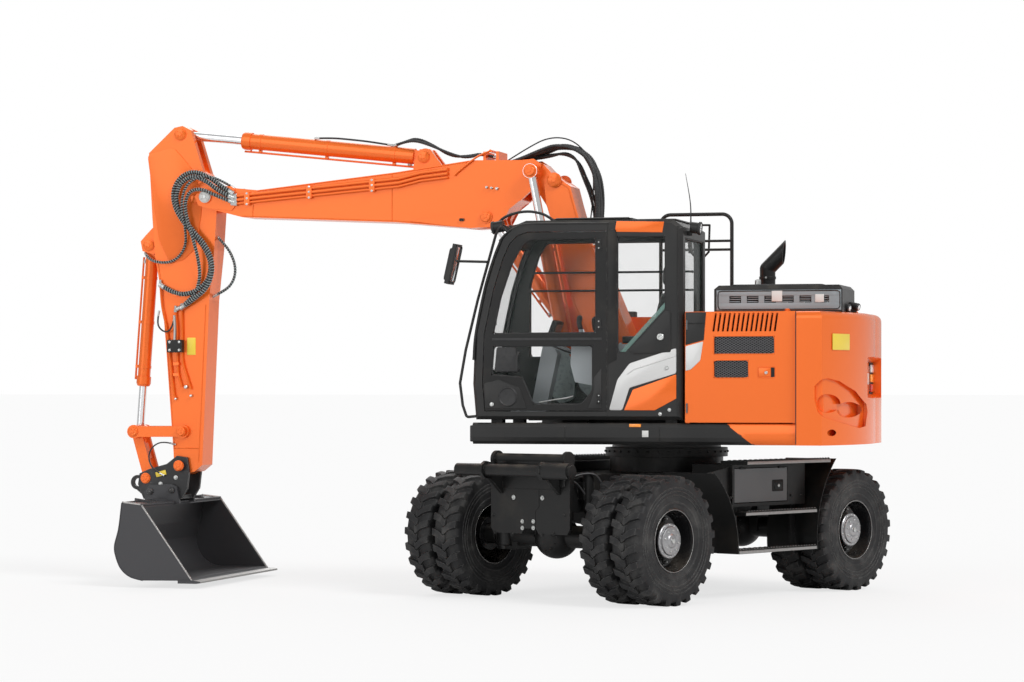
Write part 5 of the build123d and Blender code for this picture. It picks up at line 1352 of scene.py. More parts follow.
    def make(self, hose: Hose, strand: int) -> None:
        """One hose: a tube whose radius rises along a helix, r (0.88 + 0.12 max(0, sin(2 pi s / pitch - a))).

        Args:
            hose: the run that it belongs to.
            strand: its place in the run, from 0.
        """
        control = np.asarray(hose.route, float) + np.asarray(hose.spread, float) * strand
        rows = np.arange(len(control))[:, None]
        if hose.strands > 1:
            sway = np.sin(rows * 1.9 + strand * 2.3 + np.array([0.0, 1.1, 2.2]))
            control = control + sway * (np.minimum(rows, rows[::-1]) > 1) * [0.010, 0.004, 0.012]
        path = self.route(control)
        length = travel(path)
        step = (self.pitch / (8 if hose.guarded else 4)) if hose.wound else 0.02
        path = even(path, max(24, int(length / step)))
        u, v = carried(path)
        s, a = np.linspace(0, length, len(path))[:, None], around(10)[None]
        ridge = np.maximum(0, np.sin(2 * np.pi * s / self.pitch - a)) if hose.wound else 0 * s * a
        shape, r = Shape(), hose.radius
        shape.grid(path[:, None] + (r * (0.88 + 0.12 * ridge))[:, :, None] * turned(a, u[:, None], v[:, None]))
        if hose.guarded:
            twist = 2 * np.pi * s / self.pitch
            # The spiral guard takes the pale finish, partly the guard's own colour and partly a painted highlight.
            shape.tube(path + r * 1.04 * (np.cos(twist) * u + np.sin(twist) * v), 0.0034, 2, 5)
        for end, back in ((0, 1), (-1, -2)):
            shape.lathe([(-0.045, r * 0.9), (-0.045, r * 1.16), (-0.012, r * 1.16), (-0.012, r * 1.3),
                         (0.006, r * 1.3), (0.006, 0)], path[end], path[end] - path[back], 1, 8)
        made = piece(shape, f"{hose.name}_{strand + 1}", (hose.body, *hose.bend) if hose.bend else hose.body,
                     (Finish.HOSE, Finish.ZINC, Finish.PALE_PLASTIC), smooth=np.radians(60))
        centre = Place.UPPER.put(path)

    def build(self) -> None:
        """Make every hose."""
        for hose in self.runs:
            for strand in range(hose.strands):
                self.make(hose, strand)


# ---------------------------------------------------------------- cab
def facing(s: Shape, outline: Sequence[Point], y: float, thick: float, mat: int = 0, bevel: float = 0.002,
        side: int = 1, corner: float = 0.0) -> None:
    """A plate drawn as (x, z) corners, standing out from a side face towards +y or, with side -1, towards -y.

    Args:
        s: the shape that it joins.
        outline: (x, z) corners.
        y: where it lies across the machine.
        thick: how far it stands out.
        mat: number of its finish in the piece's list.
        bevel: bevel of its front edge.
        side: 1 to face +y, -1 to face -y.
        corner: radius of its corners.
    """
    flat = rounded(outline, corner) if corner else np.asarray(outline, float)
    if side > 0:
        s.slab(flat[:, ::-1], (0, y, 0), Z, X, thick, mat, bevel)
    else:
        s.slab(flat, (0, y, 0), X, Z, thick, mat, bevel)


def edging(s: Shape, outline: Sequence[Point], y: float, radius: float, mat: int = 0, corner: float = 0.03) -> None:
    """A closed round bead along (x, z) corners at some y.

    Args:
        s: the shape that it joins.
        outline: (x, z) corners.
        y: where it lies across the machine.
        radius: radius of the bead.
        mat: number of its finish in the piece's list.
        corner: radius of its corners.
    """
    path = at_y(y, rounded(outline, corner, 5))
    path = np.vstack([path, path[:1]])
    s.tube(even(path, max(24, int(travel(path) / 0.03)))[:-1], radius, mat, 8, closed=True)


@dataclass
class CabTrim:
    """Seals, painted panels, plates, lamps, mirrors' glass, wiper, aerial and guards of the cab."""

    left: float = 1.22
    front: tuple = ((1.411, 1.52), (1.438, 1.825), (1.42, 2.262), (1.338, 2.646), (1.257, 2.908), (1.185, 3.081),
        (1.094, 3.167), (0.968, 3.217))
    door_windows: tuple = (((1.257, 2.253), (1.19, 2.56), (1.09, 2.85), (1.0, 3.01), (0.932, 3.059), (0.352, 3.06),
        (0.352, 2.257)), ((1.27, 1.9), (1.25, 2.15), (0.38, 2.15), (0.38, 1.76), (0.48, 1.65), (0.9, 1.65),
        (1.0, 1.88)))
    side_window: tuple = ((0.165, 3.075), (-0.249, 3.07), (-0.249, 2.46), (0.095, 2.092), (0.165, 2.092))
    right_window: tuple = ((-0.3, 2.06), (1.18, 2.06), (1.18, 2.7), (1.1, 2.96), (1.03, 3.07), (-0.3, 3.07))
    hinges: tuple[float, float, float] = (1.7, 2.33, 3.0)
    screens: tuple = ((0.31, 1.13, 1.95, 3.01), (0.31, 1.13, 1.62, 1.89))

    def front_x(self, z: np.ndarray | float) -> np.ndarray:
        """Where the front wall's outer face stands at a height."""
        at = np.array(self.front)
        return np.interp(z, at[:, 1], at[:, 0])

    def screen_seals(self, s: Shape) -> None:
        """Seals round both front panes, on the curved front, and round the rear pane."""
        for low, high, bottom, top in self.screens:
            z = np.linspace(bottom + 0.006, top - 0.006, 24)
            up = np.c_[self.front_x(z) - 0.01, np.full(24, low + 0.006), z]
            down = up[::-1] * [1, 0, 1] + [0, high - 0.006, 0]
            s.tube(np.vstack([up, down]), 0.008, 0, 8, closed=True)
        rear = [(-0.39, y, z) for y, z in quad(0.336, 1.104, 2.126, 3.054, 0.04)]
        s.tube(rear, 0.008, 0, 8, closed=True)

    def seals(self) -> None:
        """Rubber round the fixed panes."""
        s = Shape()
        self.screen_seals(s)
        edging(s, self.side_window, self.left - 0.014, 0.008)
        edging(s, self.right_window, 0.225 + 0.012, 0.008)
        piece(s, "cab_seals", "upper", [Finish.PLASTIC])

    def shell(self) -> None:
        """The left face's painted band and panel, plates, catch, drip rail and roof."""
        s, y = Shape(), self.left
        facing(s, [(0.236, 1.601), (0.165, 1.859), (0.059, 1.997), (-0.345, 2.126), (-0.345, 1.912), (0.059, 1.79),
            (0.121, 1.601)], y - 0.004, 0.01, 0, 0.005, corner=0.02)
        facing(s, [(0.03, 1.775), (-0.345, 1.905), (-0.345, 1.7), (-0.16, 1.601), (0.105, 1.601)], y - 0.004, 0.009, 1,
            0.003, corner=0.008)
        facing(s, [(0.17, 3.2), (-0.24, 3.19), (-0.225, 3.1), (0.185, 3.11)], y - 0.003, 0.007, 1, 0.002)
        beads(s, ((0.075, 1.905), (0.02, 1.945), (-0.345, 2.06)), [y + 0.006], 0.003, 0)
        facing(s, [(0.249, 1.99), (0.17, 2.03), (0.17, 3.13), (0.249, 3.13)], y - 0.003, 0.007, 4, 0.002)
        facing(s, [(-0.246, 2.51), (-0.246, 2.442), (0.082, 2.094), (0.142, 2.094)], y - 0.013, 0.009, 5, 0.002)
        for outline, width in (([(0.247, 1.56), (0.247, 3.17)], 0.006), ([(-0.36, 1.56), (-0.36, 3.15)], 0.009)):
            s.tube(at_y(y - 0.002, outline), width, 2, 8)
        s.pipe([(1.2, y - 0.012, 3.045), (1.13, y - 0.012, 3.118), (1.05, y - 0.01, 3.16), (0.955, y - 0.006, 3.185),
            (0.6, y - 0.004, 3.186), (0.235, y - 0.004, 3.184)], 60, 0.01, 2, 8)
        s.pipe([(1.43, y - 0.015, 2.03), (1.41, y - 0.015, 2.26), (1.33, y - 0.015, 2.64), (1.25, y - 0.015, 2.9),
            (1.185, y - 0.015, 3.06)], 60, 0.012, 2, 8)
        facing(s, [(-0.3, 2.09), (-0.3, 2.43), (-0.25, 2.44), (0.06, 2.11), (0.02, 2.075)], y - 0.003, 0.01, 2, 0.003,
            corner=0.015)
        s.lathe([(0, 0.03), (0.014, 0.03), (0.018, 0.026), (0.018, 0.014), (0.006, 0.012), (0.006, 0)],
            (-0.21, y + 0.004, 2.22), Y, 3, 24)
        s.lathe([(0, 0.017), (0.008, 0.017), (0.01, 0.012), (0.004, 0.01), (0.004, 0)], (-0.265, y + 0.004, 1.96), Y,
            3, 24)
        for x, z in ((-0.285, 1.605), (-0.205, 1.57)):
            s.bolt((x, y - 0.002, z), Y, 0.01, 3)
        for at in np.linspace(0.3, 1.05, 5):
            s.tube([[0.1, at, 3.2335], [0.74, at, 3.2335]], 0.01, 2, 8)
        s.slab(quad(-0.33, 0.05, 0.27, 1.17, 0.04), (0, 0, 3.206), X, Y, 0.012, 2, 0.004)
        piece(s, "cab_panels", "upper", (Finish.SILVER, Finish.ORANGE, Finish.CHARCOAL, Finish.ZINC, Finish.SATIN,
            Finish.GREEN_GLASS))

    def door(self) -> None:
        """The door's seals, lower plate and its lamps, handle and hinges."""
        s, y = Shape(), self.left
        for window in self.door_windows:
            edging(s, window, y - 0.014, 0.008, 0)
        s.block((0.3, y - 0.01, 2.196), (1.262, y + 0.003, 2.216), 0)
        facing(s, [(1.335, 1.83), (1.2, 1.862), (1.02, 1.79), (0.955, 1.612), (1.322, 1.612)], y - 0.004, 0.01, 1,
            0.003, corner=0.02)
        centre = np.array([1.12, y + 0.004, 1.715])
        s.lathe([(0, 0.082), (0.01, 0.082), (0.014, 0.076), (0.008, 0.07), (0.004, 0.03), (0.004, 0)], centre, Y, 0,
            40)
        s.lathe([(0, 0.018), (0.008, 0.018), (0.012, 0.01), (0.012, 0)], (1.262, y + 0.004, 1.65), Y, 3, 20)
        facing(s, [(0.42, 1.612), (0.3, 1.612), (0.3, 1.96), (0.372, 1.87), (0.372, 1.74)], y - 0.004, 0.008, 1, 0.003,
            corner=0.02)
        facing(s, [(1.02, 1.93), (1.245, 1.93), (1.225, 2.14), (1.06, 2.14)], y - 0.02, 0.01, 0, 0.003, corner=0.02)
        s.pipe([(1.03, y - 0.03, 2.085), (1.03, y + 0.014, 2.08), (1.04, y + 0.02, 2.04), (1.04, y + 0.02, 1.985),
            (1.03, y + 0.014, 1.95), (1.03, y - 0.03, 1.945)], 30, 0.009, 0, 10)
        for z in self.hinges:
            s.block((0.303, y - 0.003, z - 0.045), (0.345, y + 0.005, z + 0.045), 2)
            for dz in (-0.025, 0.025):
                s.bolt((0.324, y + 0.005, z + dz), Y, 0.006, 3, False)
        # A small near-black square in the painted-shade finish.
        s.slab(oblong(0.02, 0.02), (1.245, y - 0.0145, 2.345), Z, X, 0.004, 4)
        s.pipe([(0.56, y - 0.06, 1.72), (0.62, y - 0.075, 1.705), (0.72, y - 0.075, 1.69), (0.86, y - 0.06, 1.665)],
            20, 0.008, 3, 8)
        piece(s, "door_trim", "cab_door", (Finish.PLASTIC, Finish.CHARCOAL, Finish.SATIN, Finish.ZINC, Finish.DARK))

    def outside(self) -> None:
        """Mirrors' glass, lamps' lenses, wiper, aerial, guard bars, the roof's hose and the reflectors."""
        s, y = Shape(), self.left
        face, up = unit((-0.975, 0, -0.221)), unit((-0.221, 0, 0.975))
        for origin, half_w, half_h, n, v in (((1.536, 1.4, 2.843), 0.08, 0.155, face, up),
            ((0.053, -1.3925, 3.165), 0.09, 0.118, unit((-0.996, 0, 0.09)), unit((0.09, 0, 0.996)))):
            u = np.cross(v, n)
            s.slab(oblong(half_w, half_h, 0.025), origin, u, v, 0.004, 1, 0.001)
            ring = oblong(half_w, half_h, 0.028)
            s.tube([origin + a * u + b * v + n * 0.002 for a, b in ring], 0.008, 0, 8, closed=True)
        back = np.array([1.595, 1.4, 2.846])
        s.slab(oblong(0.07, 0.14, 0.03), back + face * 0.02, np.cross(up, -face), up, 0.022, 0, 0.01)
        for at, axis in (((1.31, 1.01, 3.17), (95, 0, -16)), ((1.31, 0.43, 3.17), (95, 0, -16)),
            ((-0.505, 1.0, 3.14), (-80, 0, -10))):
            out = unit(axis)
            s.lathe([(-0.012, 0.051), (-0.012, 0.056), (0.006, 0.056), (0.01, 0.05), (0.002, 0.046)], at, out, 0, 32)
            s.lathe([(0.0, 0.047), (0.006, 0.04), (0.008, 0.0)], at, out, 2, 32)
            for a in np.linspace(-40, 40, 5):
                s.slab(oblong(0.04, 0.0015), at + Z * a / 1000 + out * 0.006, Y, np.cross(out, Y), 0.004, 0)
        s.pipe([(1.3, 0.9, 3.215), (1.23, 0.9, 3.27), (1.12, 0.9, 3.305), (1.01, 0.9, 3.312), (0.9, 0.9, 3.29),
            (0.82, 0.9, 3.245), (0.78, 0.9, 3.21)], 60, 0.012, 0, 10)
        s.pipe([(1.1, 0.72, 3.19), (1.2, 0.72, 3.13), (1.3, 0.72, 2.9), (1.372, 0.72, 2.64), (1.425, 0.72, 2.4),
            (1.44, 0.72, 2.22)], 60, 0.007, 0, 8)
        s.block((1.075, 0.68, 3.165), (1.165, 0.76, 3.215), 0, 0.008)
        blade = spline([(1.3, 0.736, 2.905), (1.371, 0.736, 2.64), (1.416, 0.736, 2.44), (1.44, 0.736, 2.24)], 30)
        s.tube(blade - [0.012, 0, 0], 0.006, 0, 6)
        s.pipe([(-0.28, 0.3, 3.19), (-0.276, 0.3, 3.4), (-0.233, 0.3, 3.66)], 24, np.linspace(0.007, 0.002, 24), 0, 8)
        s.lathe([(0, 0.018), (0.02, 0.016), (0.03, 0.008), (0.03, 0)], (-0.28, 0.3, 3.209), Z, 0, 16)
        for z, reach in ((2.805, (-0.29, 1.135)), (2.645, (-0.29, 1.165))):
            s.tube([[reach[0], 0.3, z], [reach[1], 0.3, z]], 0.01, 0, 10)
            for x in reach:
                s.tube([[x, 0.3, z], [x, 0.262, z]], 0.011, 0, 10)
        # Amber reflectors and a white plate on the sides. The amber lens finish gives the reflectors a faint glow,
        # painted light on a part that is no lamp.
        facing(s, quad(0.06, -0.04, 1.46, 1.486), y - 0.002, 0.008, 3, 0.002)
        facing(s, quad(-0.05, -0.105, 1.375, 1.43), y - 0.002, 0.006, 4, 0.001)
        facing(s, quad(0.06, -0.04, 1.46, 1.486), -y + 0.002, 0.008, 3, 0.002, -1)
        for side in (-1, 1):
            at = np.array([1.434, side * 1.12, 1.4])
            s.slab(oblong(0.085, 0.07, 0.015), at, Y, Z, 0.03, 0, 0.006)
            s.slab(rounded(quad(-0.07, 0.01, -0.055, 0.055), 0.01), at + [0.028, side * 0.025, 0], Y, Z, 0.012, 3,
                0.004)
            s.slab(quad(-0.02, 0.022, -0.05, 0.05, 0.01), at + [0.028, side * -0.05, 0], Y, Z, 0.01, 2, 0.004)
        piece(s, "cab_outfit", "upper", (Finish.PLASTIC, Finish.MIRROR, Finish.CLEAR, Finish.AMBER, Finish.WHITE))

    def build(self) -> None:
        """Make every group of trim."""
        self.seals()
        self.shell()
        self.door()
        self.outside()


@dataclass
class Seat:
    """The driver's seat: two soft cushions and a head rest on a sprung base, with side consoles' levers."""

    middle: float = 0.78
    voxel: float = 0.011
    pressure: float = 4.0
    frames: int = 20
    most: float = 0.012

    def cushion(self, name: str, rows: Sequence[tuple], across: Point, along: Point) -> None:
        """A cushion: superellipse sections |a|^3.2 + |b|^3.2 = 1 swept along, blown up once by cloth.

        Args:
            name: its name.
            rows: (centre, half width, half depth) of each section.
            across: the way of its width.
            along: the way that it is swept.
        """
        a = around(40)
        wide, deep = np.cos(a), np.sin(a)
        reach = (np.abs(wide) ** 3.2 + np.abs(deep) ** 3.2) ** (-1 / 3.2)
        across, along = unit(across), unit(along)
        out = np.cross(across, along)
        rings = [at + w * (reach * wide)[:, None] * across + t * (reach * deep)[:, None] * out for at, w, t in rows]
        s = Shape()
        s.grid(rings)
        made = piece(s, name, "upper", [Finish.CLOTH], replaces=["cab_seat"],
            smooth=np.radians(70))
        self.blow(made)

    def blow(self, made: bpy.types.Object) -> None:
        """Remesh a copy of the piece finely, fill it with pressure and keep where its points come to rest."""
        remesh = made.modifiers.new("even", "REMESH")
        remesh.mode, remesh.voxel_size = "VOXEL", self.voxel
        self.freeze(made)
        start = np.zeros(len(made.data.vertices) * 3, np.float32)
        made.data.vertices.foreach_get("co", start)
        cloth = made.modifiers.new("fill", "CLOTH")
        cloth.settings.use_pressure, cloth.settings.uniform_pressure_force = True, self.pressure
        cloth.settings.effector_weights.gravity = 0.0
        cloth.settings.mass, cloth.settings.quality = 0.3, 4
        cloth.collision_settings.use_collision = False
        cloth.point_cache.frame_start, cloth.point_cache.frame_end = 1, self.frames
        scene = bpy.context.scene
        for frame in range(1, self.frames + 1):
            scene.frame_set(frame)
        self.freeze(made)
        scene.frame_set(1)
        end = np.zeros(len(start), np.float32)
        made.data.vertices.foreach_get("co", end)
        move = (end - start).reshape(-1, 3)
        length = np.linalg.norm(move, axis=1, keepdims=True)
        capped = start.reshape(-1, 3) + move * np.minimum(1, self.most / np.maximum(length, 1e-9))
        made.data.vertices.foreach_set("co", capped.astype(np.float32).ravel())
        made.data.update()
        made.data.shade_smooth()

    def freeze(self, made: bpy.types.Object) -> None:
        """Apply every modifier of the object to its mesh."""
        graph = bpy.context.evaluated_depsgraph_get()
        finished = bpy.data.meshes.new_from_object(made.evaluated_get(graph), preserve_all_data_layers=True,
            depsgraph=graph)
        made.modifiers.clear()
        made.data = finished

    def frame(self) -> None:
        """The base, its bellows, the seat's shell, head rest post, belt and arm rests."""
        s, m = Shape(), self.middle
        s.slab(quad(-0.15, 0.32, m - 0.2, m + 0.2, 0.04), (0, 0, 1.566), X, Y, 0.08, 0, 0.01)
        for k, z in enumerate(np.linspace(1.66, 1.82, 6)):
            grow = 0.014 * (k % 2)
            s.slab(quad(-0.1 - grow, 0.28 + grow, m - 0.16 - grow, m + 0.16 + grow, 0.05), (0, 0, z - 0.014), X, Y,
                0.03, 0, 0.008)
        s.slab(quad(-0.17, 0.33, m - 0.205, m + 0.205, 0.05), (0, 0, 1.85), X, Y, 0.05, 0, 0.01)
        shell = [((-0.165, m, 1.98), 0.19, 0.03), ((-0.19, m, 2.2), 0.2, 0.03), ((-0.225, m, 2.4), 0.195, 0.028),
            ((-0.245, m, 2.58), 0.17, 0.024)]
        a = around(24)
        s.grid([c + np.c_[t * np.sin(a), w * np.cos(a), 0 * a] for c, w, t in shell])
        for side in (-1, 1):
            s.tube([[-0.215, m + side * 0.05, 2.56], [-0.19, m + side * 0.05, 2.72]], 0.007, 1, 8)
            arm = spline([(-0.17, m + side * 0.235, 2.18), (0.0, m + side * 0.245, 2.2),
                (0.16, m + side * 0.245, 2.2)], 16)
            s.tube(arm, 0.03, 0, 14)
            s.block((0.0, m + side * 0.235 - 0.02, 1.92), (0.05, m + side * 0.235 + 0.02, 1.97), 2, 0.004)
        piece(s, "seat_frame", "upper", (Finish.PLASTIC, Finish.ZINC, Finish.RED), replaces=["cab_seat"])

    def build(self) -> None:
        """Make the cushions and what carries them."""
        self.frame()
        m = self.middle
        self.cushion("seat_cushion", [((-0.12, m, 1.925), 0.1, 0.02), ((-0.115, m, 1.93), 0.165, 0.042),
            ((-0.09, m, 1.935), 0.192, 0.056), ((0.0, m, 1.945), 0.2, 0.06), ((0.2, m, 1.955), 0.2, 0.064),
            ((0.31, m, 1.955), 0.195, 0.06), ((0.345, m, 1.945), 0.17, 0.046), ((0.352, m, 1.94), 0.11, 0.022)], Y, X)
        self.cushion("seat_back", [((-0.095, m, 2.03), 0.09, 0.018), ((-0.098, m, 2.036), 0.16, 0.038),
            ((-0.105, m, 2.06), 0.19, 0.05), ((-0.125, m, 2.24), 0.198, 0.052), ((-0.16, m, 2.43), 0.195, 0.05),
            ((-0.192, m, 2.58), 0.175, 0.044), ((-0.2, m, 2.612), 0.14, 0.034), ((-0.202, m, 2.62), 0.08, 0.016)], Y,
            (-0.18, 0, 1))
        self.cushion("head_rest", [((-0.185, m, 2.668), 0.06, 0.014), ((-0.186, m, 2.672), 0.095, 0.032),
            ((-0.188, m, 2.69), 0.11, 0.042), ((-0.19, m, 2.75), 0.114, 0.044), ((-0.192, m, 2.81), 0.105, 0.04),
            ((-0.193, m, 2.828), 0.08, 0.028), ((-0.193, m, 2.832), 0.05, 0.012)], Y, (-0.06, 0, 1))


@dataclass
class Interior:
    """Levers, monitor, wheel, pedals' rubbers, mats and linings inside the cab."""

    floor: float = 1.566

    def build(self) -> None:
        """One piece for the dark fittings."""
        s = Shape()
        for y in (0.505, 1.055):
            s.lathe([(0, 0.045), (0.012, 0.042), (0.03, 0.03), (0.045, 0.024), (0.06, 0.022)], (0.508, y, 2.165), Z, 0,
                20)
            grip = [(0.52, y, 2.285), (0.53, y, 2.315), (0.536, y, 2.35), (0.532, y, 2.385), (0.524, y, 2.41)]
            s.pipe(grip, 14, np.array([0.016, 0.02, 0.022, 0.022, 0.021, 0.021, 0.021, 0.022, 0.023, 0.025, 0.026,
                0.024, 0.02, 0.01]), 0, 14)
            s.lathe([(0, 0.007), (0.008, 0.006), (0.008, 0)], (0.536, y, 2.404), Z, 3, 10)
        for k in range(5):
            s.lathe([(0, 0.012), (0.01, 0.012), (0.012, 0.008), (0.012, 0)], (0.3 + 0.045 * k, 0.505, 2.172), Z, 2, 12)
        tilt, out = unit((-0.35, 0, 0.94)), unit((-0.94, 0, -0.35))
        s.slab(oblong(0.13, 0.09, 0.02), (0.93, 0.42, 2.3), np.cross(tilt, out), tilt, 0.045, 0, 0.01)
        s.slab(oblong(0.105, 0.065, 0.008), np.array([0.93, 0.42, 2.3]) + out * 0.0445, np.cross(tilt, out), tilt,
            0.002, 4)
        s.pipe([(0.96, 0.42, 2.22), (0.985, 0.4, 2.1), (1.06, 0.36, 1.95), (1.12, 0.33, 1.86)], 20, 0.014, 0, 10)
        hub, axis = np.array([0.835, 0.78, 2.17]), unit((-0.42, 0, 0.9))
        u, v = square_to(axis)
        s.tube(hub + 0.166 * turned(around(64), u, v), 0.0165, 0, 12, closed=True)
        s.lathe([(-0.03, 0.04), (0.0, 0.052), (0.018, 0.05), (0.026, 0.036), (0.026, 0)], hub, axis, 0, 28)
        s.lathe([(0.026, 0.012), (0.04, 0.012), (0.052, 0.02), (0.064, 0.018), (0.07, 0)], hub + 0.15 * Y, axis, 0, 16)
        for y in (0.68, 0.91):
            for k in range(5):
                s.block((1.135 + 0.02 * k, y - 0.034, 1.602 + 0.0125 * k), (1.146 + 0.02 * k, y + 0.034,
                    1.618 + 0.0125 * k), 0, 0.002)
        s.slab(quad(-0.32, 1.34, 0.3, 1.15, 0.06), (0, 0, self.floor - 0.001), X, Y, 0.008, 0, 0.003)
        for k in range(18):
            s.block((0.42 + 0.045 * k, 0.34, self.floor + 0.006), (0.44 + 0.045 * k, 1.1, self.floor + 0.011), 0,
                0.002)
        s.slab(quad(-0.3, 0.9, 0.3, 1.15, 0.05), (0, 0, 3.15), X, Y, 0.012, 1, 0.003)
        s.slab(quad(0.3, 0.8, 0.35, 0.8, 0.04), (0, 0, 3.134), X, Y, 0.018, 2, 0.005)
        for k in range(6):
            s.block((-0.18 + 0.002 * k, 1.02 + 0.004 * k, 2.155 + 0.001 * k), (-0.1 + 0.07 * k, 1.09 - 0.004 * k,
                2.162), 2, 0.002)
        facing(s, [(0.76, 1.7), (0.88, 1.64), (0.96, 1.7), (1.01, 1.9), (1.02, 2.12), (0.83, 2.12), (0.76, 1.95)],
            0.275, 0.03, 1, 0.01, corner=0.04)
        facing(s, [(0.42, 2.05), (0.74, 2.05), (0.72, 1.8), (0.62, 1.7), (0.52, 1.7), (0.42, 1.8)], 0.275, 0.07, 1,
            0.015, corner=0.05)
        piece(s, "cab_fittings", "upper", (Finish.PLASTIC, Finish.PALE_PLASTIC, Finish.GREY_PLASTIC, Finish.RED,
            Finish.GREEN_GLASS))


# ---------------------------------------------------------------- engine body
@dataclass
class BodyTrim:
    """Meshes, louvres, bands, plates, latches, seams and lamps of the rear body, skirts and tank."""

    side: float = 1.22
    hood_side: float = 0.9
    vents: int = 6
    tail: tuple = ((0.385, 0.167), 2.242)

    def door(self) -> None:
        """The engine door: hexagon mesh behind its openings with a near-black sheet behind it that paints the shade
        inside, louvre blades over near-black patches that paint the shade between them, latch and trims.
        """
        s, y = Shape(), self.side
        for rear, front, low, high in ((-1.181, -0.664, 2.072, 2.224), (-0.961, -0.664, 1.872, 2.023)):
            s.net((low, rear), (high, front), 0.02, 0.004, (0, y - 0.016, 0), Z, X, 1)
            # A near-black sheet behind each opening is painted shade inside the bay.
            s.slab(quad(low - 0.006, high + 0.006, rear - 0.006, front + 0.006), (0, y - 0.0325, 0), Z, X, 0.004, 2)
            edging(s, quad(rear, front, low, high), y - 0.001, 0.005, 0, 0.008)
        for place in range(14):
            x = -1.19 + place * 0.04
            patch = [(x - 0.003, 2.266), (x + 0.011, 2.266), (x - 0.011, 2.414), (x - 0.025, 2.414)]
            # A near-black patch behind each blade is painted shade between the blades.
            facing(s, patch, y - 0.031, 0.004, 2, 0)
            s.tube([[x + 0.0185, y, 2.266], [x - 0.0035, y, 2.414]], 0.0025, 0, 6)
        facing(s, [(-0.424, 2.426), (-0.6, 2.426), (-0.58, 2.19), (-0.424, 2.15)], y - 0.002, 0.006, 3, 0.002)
        facing(s, [(-0.424, 2.336), (-0.592, 2.336), (-0.591, 2.328), (-0.424, 2.328)], y + 0.003, 0.004, 2, 0)
        facing(s, [(-0.424, 2.14), (-0.575, 2.18), (-0.55, 2.02), (-0.47, 1.945), (-0.424, 1.932)], y - 0.002, 0.007,
            4, 0.003, corner=0.01)
        frame = quad(-1.185, -1.04, 1.875, 1.965)
        edging(s, frame, y, 0.004, 0, 0.006)
        # A near-black strip inside the latch's frame is painted shade in the gap beside its plate.
        facing(s, quad(-1.18, -1.15, 1.88, 1.96), y - 0.001, 0.002, 2, 0)
        facing(s, quad(-1.148, -1.046, 1.884, 1.956), y - 0.002, 0.008, 0, 0.002)
        s.lathe([(0, 0.014), (0.006, 0.014), (0.01, 0.01), (0.006, 0.006), (0.006, 0)], (-1.11, y + 0.005, 1.918), Y,
            5, 20)
        for z in (1.62, 2.32):
            s.lathe([(-0.04, 0), (-0.04, 0.008), (0.04, 0.008), (0.04, 0)], (-0.436, y + 0.005, z), Z, 1, 14)
        piece(s, "engine_door_trim", "side_door", (Finish.ORANGE, Finish.ENGINE, Finish.DARK, Finish.CHARCOAL,
            Finish.SILVER, Finish.ZINC))

    def hood(self) -> None:
        """The hood: a pale band with slats in its vents, frames, a grip, hinges, filler and the exhaust's flange."""
        s, y = Shape(), self.hood_side
        for side, face, rear in ((1, y, -1.69), (-1, -0.56, -1.47)):
            rows = [k for k in range(self.vents) if side > 0 or -1.58 + 0.15 * k > -1.45]
            xs = sorted(-1.58 + 0.15 * k for k in rows)
            edges = [rear] + [x for v in xs for x in (v - 0.007, v + 0.093)] + [-0.625]
            for low, high in ((2.446, 2.51), (2.568, 2.618)):
                facing(s, quad(rear, -0.625, low, high), face - side * 0.001, 0.004, 0, 0.001, side)
            for start, end in zip(edges[::2], edges[1::2]):
                facing(s, quad(start, end, 2.51, 2.568), face - side * 0.001, 0.004, 0, 0, side)
            for x in xs:
                for k in range(3):
                    z = 2.52 + 0.019 * k
                    s.tube([[x + 0.002 - 0.004 * k, face - side * 0.01, z], [x + 0.094 - 0.004 * k, face - side * 0.01,
                        z]], 0.0045, 0, 8)
            edging(s, quad(rear + 0.01, -0.64, 2.455, 2.61), face + side * 0.003, 0.0045, 1, 0.02)
        for low, high, left, right in ((2.52, 2.61, -1.19, -1.1), (2.512, 2.58, -1.545, -1.47)):
            facing(s, quad(left, right, low, high), y + 0.002, 0.006, 2, 0.002)
        s.slab(quad(-1.5, -0.72, -0.4, 0.72, 0.05), (0, 0, 2.659), X, Y, 0.014, 1, 0.005)
        s.lathe([(-0.02, 0.0), (-0.02, 0.026), (0.02, 0.026), (0.028, 0.018), (0.028, 0)], (-0.93, 0.62, 2.69), Z, 3,
            20)
        for x in (-1.45, -0.8):
            s.block((x - 0.05, -0.575, 2.6), (x + 0.05, -0.548, 2.645), 1, 0.004)
        s.lathe([(0, 0.12), (0.01, 0.12), (0.014, 0.1), (0.014, 0.072)], (-0.778, -0.7, 2.432), Z, 1, 40)
        piece(s, "hood_trim", "engine_hood", (Finish.HOOD_GREY, Finish.CHARCOAL, Finish.WHITE, Finish.ZINC))

    def on_tail(self, y: float, out: float = 0.0) -> tuple[np.ndarray, np.ndarray]:
        """A point of the counterweight's curved back at some y, and the way out of it, both in plan.

        Args:
            y: where it lies across the machine.
            out: how far out from the face.

        Returns:
            The point and the way out.
        """
        (x0, y0), radius = self.tail
        side = 1 if y >= 0 else -1
        centre = np.array([x0, side * y0])
        dy = y - centre[1]
        point = np.array([x0 - np.sqrt(radius**2 - dy**2), y])
        normal = (point - centre) / radius
        return point + normal * out, normal

